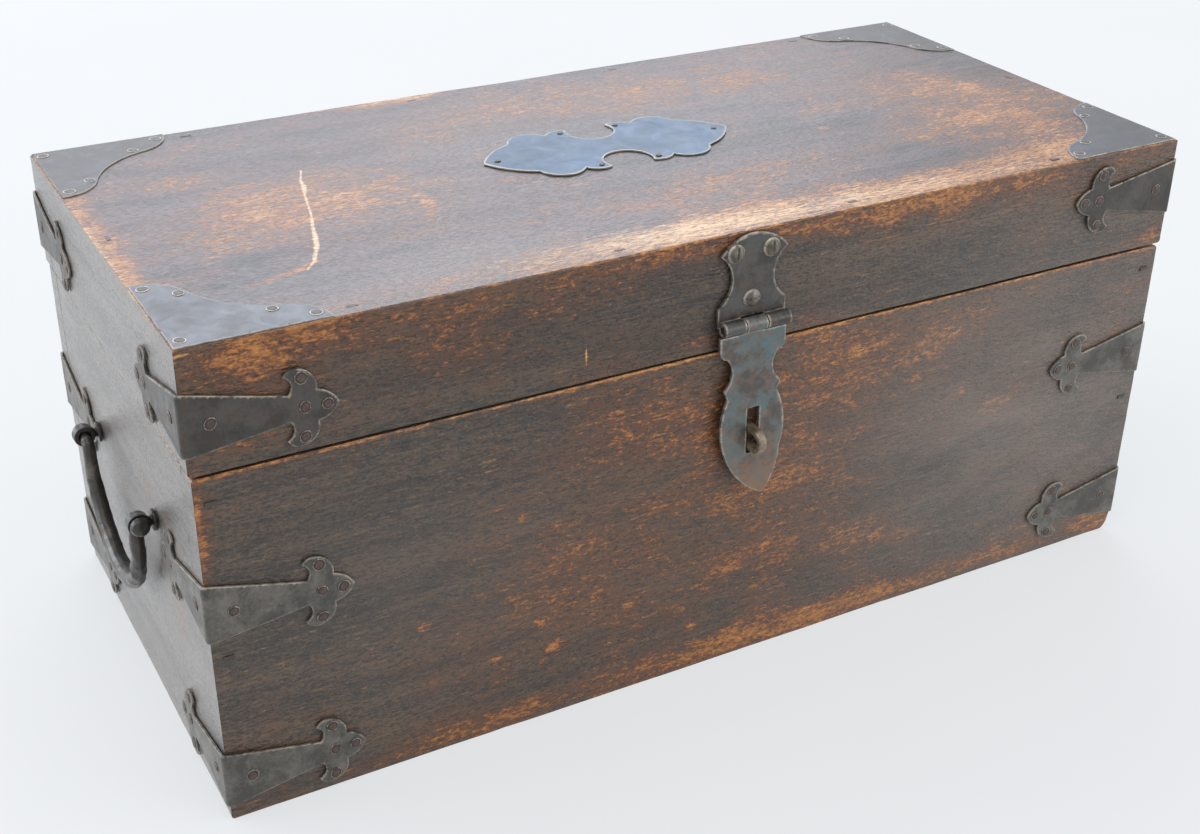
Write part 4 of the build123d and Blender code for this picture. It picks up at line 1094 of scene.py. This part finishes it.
@dataclass
class Fasteners:
    """Every small head, set on its place by one geometry-nodes tree."""

    iron: Finishes
    tree: Tree = field(init=False)

    def __post_init__(self) -> None:
        """Builds the tree: a head on each point, sized, turned, made uneven and realised."""
        tree = bpy.data.node_groups.new("small_heads", "GeometryNodeTree")
        for name, kind in (
            ("Geometry", "Geometry"), ("Head", "Object"), ("Radius", "Float"), ("Rise", "Float"),
            ("Size Change", "Float"), ("Hammering", "Float"), ("Seed", "Int"), ("Finish", "Material"),
        ):
            tree.interface.new_socket(name=name, in_out="INPUT", socket_type="NodeSocket" + kind)
        tree.interface.new_socket(name="Geometry", in_out="OUTPUT", socket_type="NodeSocketGeometry")
        given = tree.nodes.new("NodeGroupInput").outputs
        head = add(tree, "GeometryNodeObjectInfo", {"Object": given["Head"]}, out="Geometry")
        facing = add(tree, "GeometryNodeInputNamedAttribute", {"Name": "facing"}, data_type="FLOAT_VECTOR")
        facing = add(tree, "FunctionNodeEulerToRotation", {"Euler": facing})
        less, more = [add(tree, "Math", {0: 1.0, 1: given["Size Change"]}, operation=way)
                      for way in ("SUBTRACT", "ADD")]
        change = add(tree, "FunctionNodeRandomValue", {0: less, 1: more, "Seed": given["Seed"]},
                     data_type="FLOAT_VECTOR")
        size = add(tree, "CombineXYZ", {0: given["Radius"], 1: given["Radius"], 2: given["Rise"]})
        size = add(tree, "VectorMath", {0: size, 1: change}, operation="MULTIPLY")
        made = add(tree, "GeometryNodeInstanceOnPoints", {
            "Points": given["Geometry"], "Instance": head, "Rotation": facing, "Scale": size})
        made = add(tree, "GeometryNodeRealizeInstances", {"Geometry": made})
        bumps = add(tree, "TexNoise", {"Scale": HAMMER_MARKS, "Detail": 1.0}, out="Color")
        bumps = add(tree, "VectorMath", {0: bumps, 1: (0.5, 0.5, 0.5)}, operation="SUBTRACT")
        push = add(tree, "VectorMath", {0: bumps, "Scale": given["Hammering"]}, operation="SCALE")
        made = add(tree, "GeometryNodeSetPosition", {"Geometry": made, "Offset": push})
        made = add(tree, "GeometryNodeSetMaterial", {"Geometry": made, "Material": given["Finish"]})
        add(tree, "NodeGroupOutput", {"Geometry": made})
        self.tree = tree

    def place(self, node: str, body: str, head: Object, finish: Material, radius: float, rise: float,
              change: float, hammering: float, turns: Sequence[float]) -> None:
        """Sets a head on every fastener of a node.

        Args:
            node: The node of separate fasteners.
            body: The body they ride on.
            head: The unit head.
            finish: Its material.
            radius: The head's radius in millimetres.
            rise: The head's height in millimetres.
            change: Random change of size, as a share.
            hammering: Random unevenness in millimetres.
            turns: Turn of each head in degrees; any turn where there are none.
        """
        name = "heads_" + node
        pick = random.Random(SEED + len(name))
        spots = heads_of(node)
        facing = []
        for (_, outward), turn in zip(spots, turns or [pick.uniform(0, 360) for _ in spots]):
            side = Vector((0, 0, 1)) if abs(outward.z) < 0.5 else Vector((1, 0, 0))
            across = side.cross(outward).normalized()
            rows = Matrix((across, outward.cross(across), outward)).transposed()
            facing.append((rows @ Matrix.Rotation(math.radians(turn), 3, "Z")).to_euler()[:])
        mesh = bpy.data.meshes.new(name)
        mesh.from_pydata([at for at, _ in spots], [], [])
        attribute = mesh.attributes.new("facing", "FLOAT_VECTOR", "POINT")
        attribute.data.foreach_set("vector", np.array(facing, dtype=np.float32).ravel())
        piece = object_from(name, mesh, None)
        modifier = piece.modifiers.new("heads", "NODES")
        modifier.node_group = self.tree
        values = {"Head": head, "Radius": radius * MM, "Rise": rise * MM, "Size Change": change,
                  "Hammering": hammering * MM, "Seed": SEED, "Finish": finish}
        for socket in self.tree.interface.items_tree:
            if socket.in_out == "INPUT" and socket.name in values:
                modifier[socket.identifier] = values[socket.name]
        made = applied(piece)
        made.polygons.foreach_set("use_smooth", [True] * len(made.polygons))
        settle(piece, body, "nail_iron", node)

    def build(self) -> None:
        """Sets nails, pins and the screws of the hasp."""
        rim = ((0.86, 0.7, 0.95), (0.95, 0.6, 1.0), (1.0, 0.1, 0.8), (0.9, -0.5, 0.0), (0, -0.5, 0.0))
        nail = turned_head("nail_head", ((0, 0.9, 0.0), (0.42, 0.95, 0.0), (0.6, 0.7, 0.3), (0.7, 0.35, 0.5), *rim),
                           10, 0.06)
        pin = turned_head("pin_head", ((0, 0.9, 0.0), (0.6, 0.8, 0.4), *rim), 10, 0.05)
        screw = slotted_head("screw_head")
        # the head's radius and rise in mm, its change of size, its hammering in mm, and its turns
        for node, body, head, finish, *sizes, turns in (
            ("base_strap_nails", "base", nail, "nail", 2.55, 0.4, 0.12, 0.2, ()),
            ("lid_strap_nails", "lid", nail, "nail", 2.55, 0.4, 0.12, 0.2, ()),
            ("lid_plate_nails", "lid", nail, "flat_nail", 2.55, 0.22, 0.12, 0.2, ()),
            ("lid_ornament_pins", "lid", pin, "nail", 1.4, 0.35, 0.1, 0.1, ()),
            ("hasp_screws", "lid", screw, "screw", 4.0, 1.9, 0.02, 0.05, (85, 0, 90)),
        ):
            self.place(node, body, head, self.iron[finish], *sizes, turns)
        for head in (nail, pin, screw):
            bpy.data.objects.remove(head)


# ---- studio
@dataclass(frozen=True)
class SoftBox:
    """A soft area light that looks at the chest: place and size in metres, brightness of its face."""

    name: str
    at: Triple
    size: Pair
    radiance: float
    colour: str = "#ffffff"
    aim: Triple = (0.0, 0.0, 0.1)

    def build(self) -> None:
        """Hangs the light."""
        data = bpy.data.lights.new(self.name, "AREA")
        data.shape, data.size, data.size_y = "RECTANGLE", *self.size
        data.energy = self.radiance * math.pi * self.size[0] * self.size[1]
        data.color = linear(self.colour)[:3]
        lamp = bpy.data.objects.new(self.name, data)
        bpy.context.scene.collection.objects.link(lamp)
        lamp.location = self.at
        lamp.rotation_mode = "QUATERNION"
        lamp.rotation_quaternion = (Vector(self.aim) - Vector(self.at)).to_track_quat("-Z", "Y")
        lamp.visible_camera = False


@dataclass
class Studio:
    """Floor, soft light and the camera."""

    azimuth: float = -29.0477
    elevation: float = 28.7474
    roll: float = 0.6428
    place: Triple = (-0.34727, -0.61383, 0.45620)
    focal_pixels: float = 1691.34
    picture_width: float = 1200.0
    sensor: float = 36.0
    floor_reach: float = 14.0
    world: str = "#eef1f6"
    backdrop: str = "#e9ecef"
    world_strength: float = 0.75
    lights: tuple[SoftBox, ...] = (
        SoftBox("window_back_right", (0.9, 2.9, 2.6), (3.2, 2.6), 2.8, "#eef2ff"),
        SoftBox("window_back_left", (-2.8, 1.8, 1.1), (3.2, 2.2), 4.0, "#f0f4ff"),
        SoftBox("fill_front_right", (2.2, -2.0, 0.9), (2.4, 1.6), 2.3, "#ffffff"),
        SoftBox("overhead", (-0.4, -1.0, 3.8), (3.2, 2.4), 1.7, "#fffdf8"),
    )

    def camera(self) -> None:
        """Sets the camera."""
        data = bpy.data.cameras.new("camera")
        data.sensor_width = self.sensor
        data.lens = self.focal_pixels / self.picture_width * self.sensor
        data.clip_start, data.clip_end = 0.01, 50.0
        turn, lift, roll = (math.radians(a) for a in (self.azimuth, self.elevation, self.roll))
        back = Vector((math.sin(turn) * math.cos(lift), -math.cos(turn) * math.cos(lift), math.sin(lift)))
        right = (-back).cross(Vector((0, 0, 1))).normalized()
        up = right.cross(-back)
        across = math.cos(roll) * right + math.sin(roll) * up
        above = -math.sin(roll) * right + math.cos(roll) * up
        rows = Matrix((across, above, back)).transposed().to_4x4()
        eye = bpy.data.objects.new("camera", data)
        bpy.context.scene.collection.objects.link(eye)
        eye.matrix_world = Matrix.Translation(self.place) @ rows
        bpy.context.scene.camera = eye

    def floor(self) -> None:
        """Lays the paper and lights the room."""
        reach = self.floor_reach
        mesh = bpy.data.meshes.new("floor")
        corners = [(x * reach, y * reach, 0) for x, y in ((-1, -1), (1, -1), (1, 1), (-1, 1))]
        mesh.from_pydata(corners, [], [(0, 1, 2, 3)])
        object_from("floor", mesh, MattPaper().build())
        world = bpy.data.worlds.new("room")
        bpy.context.scene.world = world
        world.use_nodes = True
        tree = world.node_tree
        tree.nodes.clear()
        rays = tree.nodes.new("ShaderNodeLightPath").outputs
        lit = add(tree, "Background", {"Color": linear(self.world), "Strength": self.world_strength})
        seen = add(tree, "Background", {"Color": linear(self.backdrop), "Strength": 1.0})
        both = add(tree, "Math", {0: rays["Is Camera Ray"], 1: rays["Is Glossy Ray"]}, operation="MAXIMUM")
        mixed = add(tree, "MixShader", {0: both, 1: lit, 2: seen})
        add(tree, "OutputWorld", {"Surface": mixed})

    def build(self) -> None:
        """Builds the whole studio."""
        self.camera()
        self.floor()
        for light in self.lights:
            light.build()
        bpy.context.scene.view_settings.view_transform = "Standard"


# ---- main
def finishes() -> tuple[Finishes, Finishes]:
    """Builds every finish of the object.

    Returns:
        The woods by the face they show on, and the irons by use.
    """
    woods = {
        # stained and waxed: a dull sheen, dark in the grain, rubbed through to orange wood
        "front": WaxedHardwood("waxed_sheesham", Grain.LENGTH),
        # the same wood polished by hands: smoother and streaky; its paler lilac-grey is partly a painted sheen of
        # the backdrop
        "top": WaxedHardwood("hand_rubbed_sheesham_painted_sheen", Grain.LENGTH, dark="#2c292a", brown="#52484a", warm="#684b40",
                             worn="#825033", worn_light="#cf9c6c", bare="#e8c49c", relief=0.13,
                             pores=0.5, streak=2.2),
        # end boards with little stain left, under a thicker wax, with deep grain; their pale grey-brown is partly a
        # painted sheen of the floor seen at a low angle
        "end": WaxedHardwood("pale_end_sheesham_painted_sheen", Grain.DEPTH, dark="#45423f", brown="#77716a", warm="#6d6054",
                             worn="#6b523e", worn_light="#a5825c", bare="#c9ab84", roughness=0.38, coat=0.9,
                             coat_roughness=0.28, relief=0.4, pores=0.6),
    }
    iron = {
        # hammered sheet under black oxide: dull and dark, pale at the edges from rubbing and partly a painted
        # highlight
        "strap": OxidisedIron("oxidised_sheet_iron", dark="#262422", mid="#45413c", rust="#4d3626", rust_share=0.3,
                              rim="#a89f90"),
        # the same sheet lower down, coloured lighter as a painted sheen
        "painted_sheen_sheet": OxidisedIron("sheet_iron_painted_sheen", dark="#3c3b37", mid="#68655e", rust="#5a4a3a", rust_share=0.25,
                              rim="#aaa192"),
        # plates let into the lid: smooth, steel grey and a little shiny from hands
        "plate": OxidisedIron("rubbed_sheet_iron", dark="#43464b", mid="#51555b", rust="#585450", rust_share=0.3,
                              rim="#a9a294", metallic=0.5, roughness=0.4, dent=0.03, blotch=18.0),
        # the back plates, hardly touched: nearly black with brown stains
        "old_plate": OxidisedIron("stained_sheet_iron", dark="#29292a", mid="#38383a", rust="#6b6050",
                                  rust_share=0.4, rim="#9a9486", metallic=0.35, roughness=0.46, dent=0.04,
                                  blotch=14.0),
        # thin sheet blued by heat: slate blue with a pale outline, partly worn and partly a painted highlight
        "blued": OxidisedIron("blued_sheet", dark="#1e4059", mid="#2b5170", rust="#3f565f", rust_share=0.15,
                              rim="#c4bba9", metallic=0.55, roughness=0.4, dent=0.025, blotch=26.0,
                              rim_whole=(0.3, 0.5)),
        # brown iron with a blue-green bloom, rustier towards its foot
        "hasp": OxidisedIron("patinated_plate_iron", dark="#484440", mid="#69645d", rust="#84614a", rust_share=0.4,
                             patina="#3a6a74", patina_share=0.6, rim="#a69d90", roughness=0.42, dent=0.08,
                             blotch=9.0, rust_below=(0.118, 0.088)),
        # the same iron, darker and browner
        "hasp_plate": OxidisedIron("brown_plate_iron", dark="#2c2826", mid="#4b453f", rust="#5b4434",
                                   rust_share=0.4, patina="#33555f", patina_share=0.2, rim="#a29a8c",
                                   roughness=0.42, dent=0.08, blotch=8.0),
        # hammered bar burnished by handling: nearly black, with soft highlights
        "bar": OxidisedIron("forged_bar_iron", dark="#242321", mid="#423f3b", rust="#54453a", rust_share=0.3,
                            metallic=0.6, roughness=0.36, rim="#6b655d"),
        # bare bar under light rust, rubbed by the strap; its light tan is partly a painted highlight of its bright
        # facet
        "staple": OxidisedIron("rusty_bar_iron_painted_highlight", dark="#5a4d40", mid="#94846f", rust="#6b4c34",
                               rust_share=0.5, rim="#b5a893"),
        # rose-head nails: brown, a dark groove round the head and a pale rim
        "nail": OxidisedIron("rusty_nail_iron", dark="#382c27", mid="#51423a", rust="#664534",
                             rust_share=0.6, rim="#9a9183", blotch=3.0, ring="ring", rim_from=0.72,
                             rim_whole=(0.4, 0.62), groove=0.8),
        # the same nails hammered flat in the lid plates, rubbed paler
        "flat_nail": OxidisedIron("worn_nail_iron", dark="#3d3733", mid="#564d47", rust="#6b5142",
                                  rust_share=0.4, rim="#cdc5b9", blotch=3.0, ring="ring", rim_from=0.72,
                                  rim_whole=(0.3, 0.5), groove=0.8),
        # cut nails, stained with the wood: hardly any metal shows
        "cut": OxidisedIron("stained_cut_nail", dark="#2a231e", mid="#43362c", metallic=0.1, blotch=4.0),
        # round-head screws: grey, bright on the rim
        "screw": OxidisedIron("worn_screw_iron", dark="#47423b", mid="#6f695f", rust_share=0.4,
                              metallic=0.5, roughness=0.4, rim="#b9b0a0", blotch=4.0, ring="ring",
                              rim_from=0.7, rim_whole=(0.3, 0.5)),
    }
    woods, iron = ({use: finish.build() for use, finish in kinds.items()} for kinds in (woods, iron))
    return woods, iron


def keep_nodes(iron: Finishes) -> None:
    """Gives the nodes that stay visible their finish.

    Args:
        iron: The finishes of the iron.
    """
    for name, finish in (
        ("base_board_nails", "cut"), ("lid_board_nails", "cut"), ("base_hinge_screws", "screw"),
        ("lid_hinge_screws", "screw"), ("hasp_pin", "strap"), ("left_hinge_pin", "strap"),
        ("right_hinge_pin", "strap"),
    ):
        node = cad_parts[name]
        for slot in node.material_slots:
            slot.link = "OBJECT"
            slot.material = iron[finish]
        LOG.info("%-28s keeps its node", name)


def main() -> None:
    """Builds the chest and its studio in order."""
    logging.basicConfig(level=logging.INFO, format="%(message)s")
    Studio().build()
    woods, iron = finishes()
    for work in (Carcase(woods), SheetWork(iron), Forged(iron), Fasteners(iron)):
        work.build()
    keep_nodes(iron)


if __name__ == "__main__":
    main()
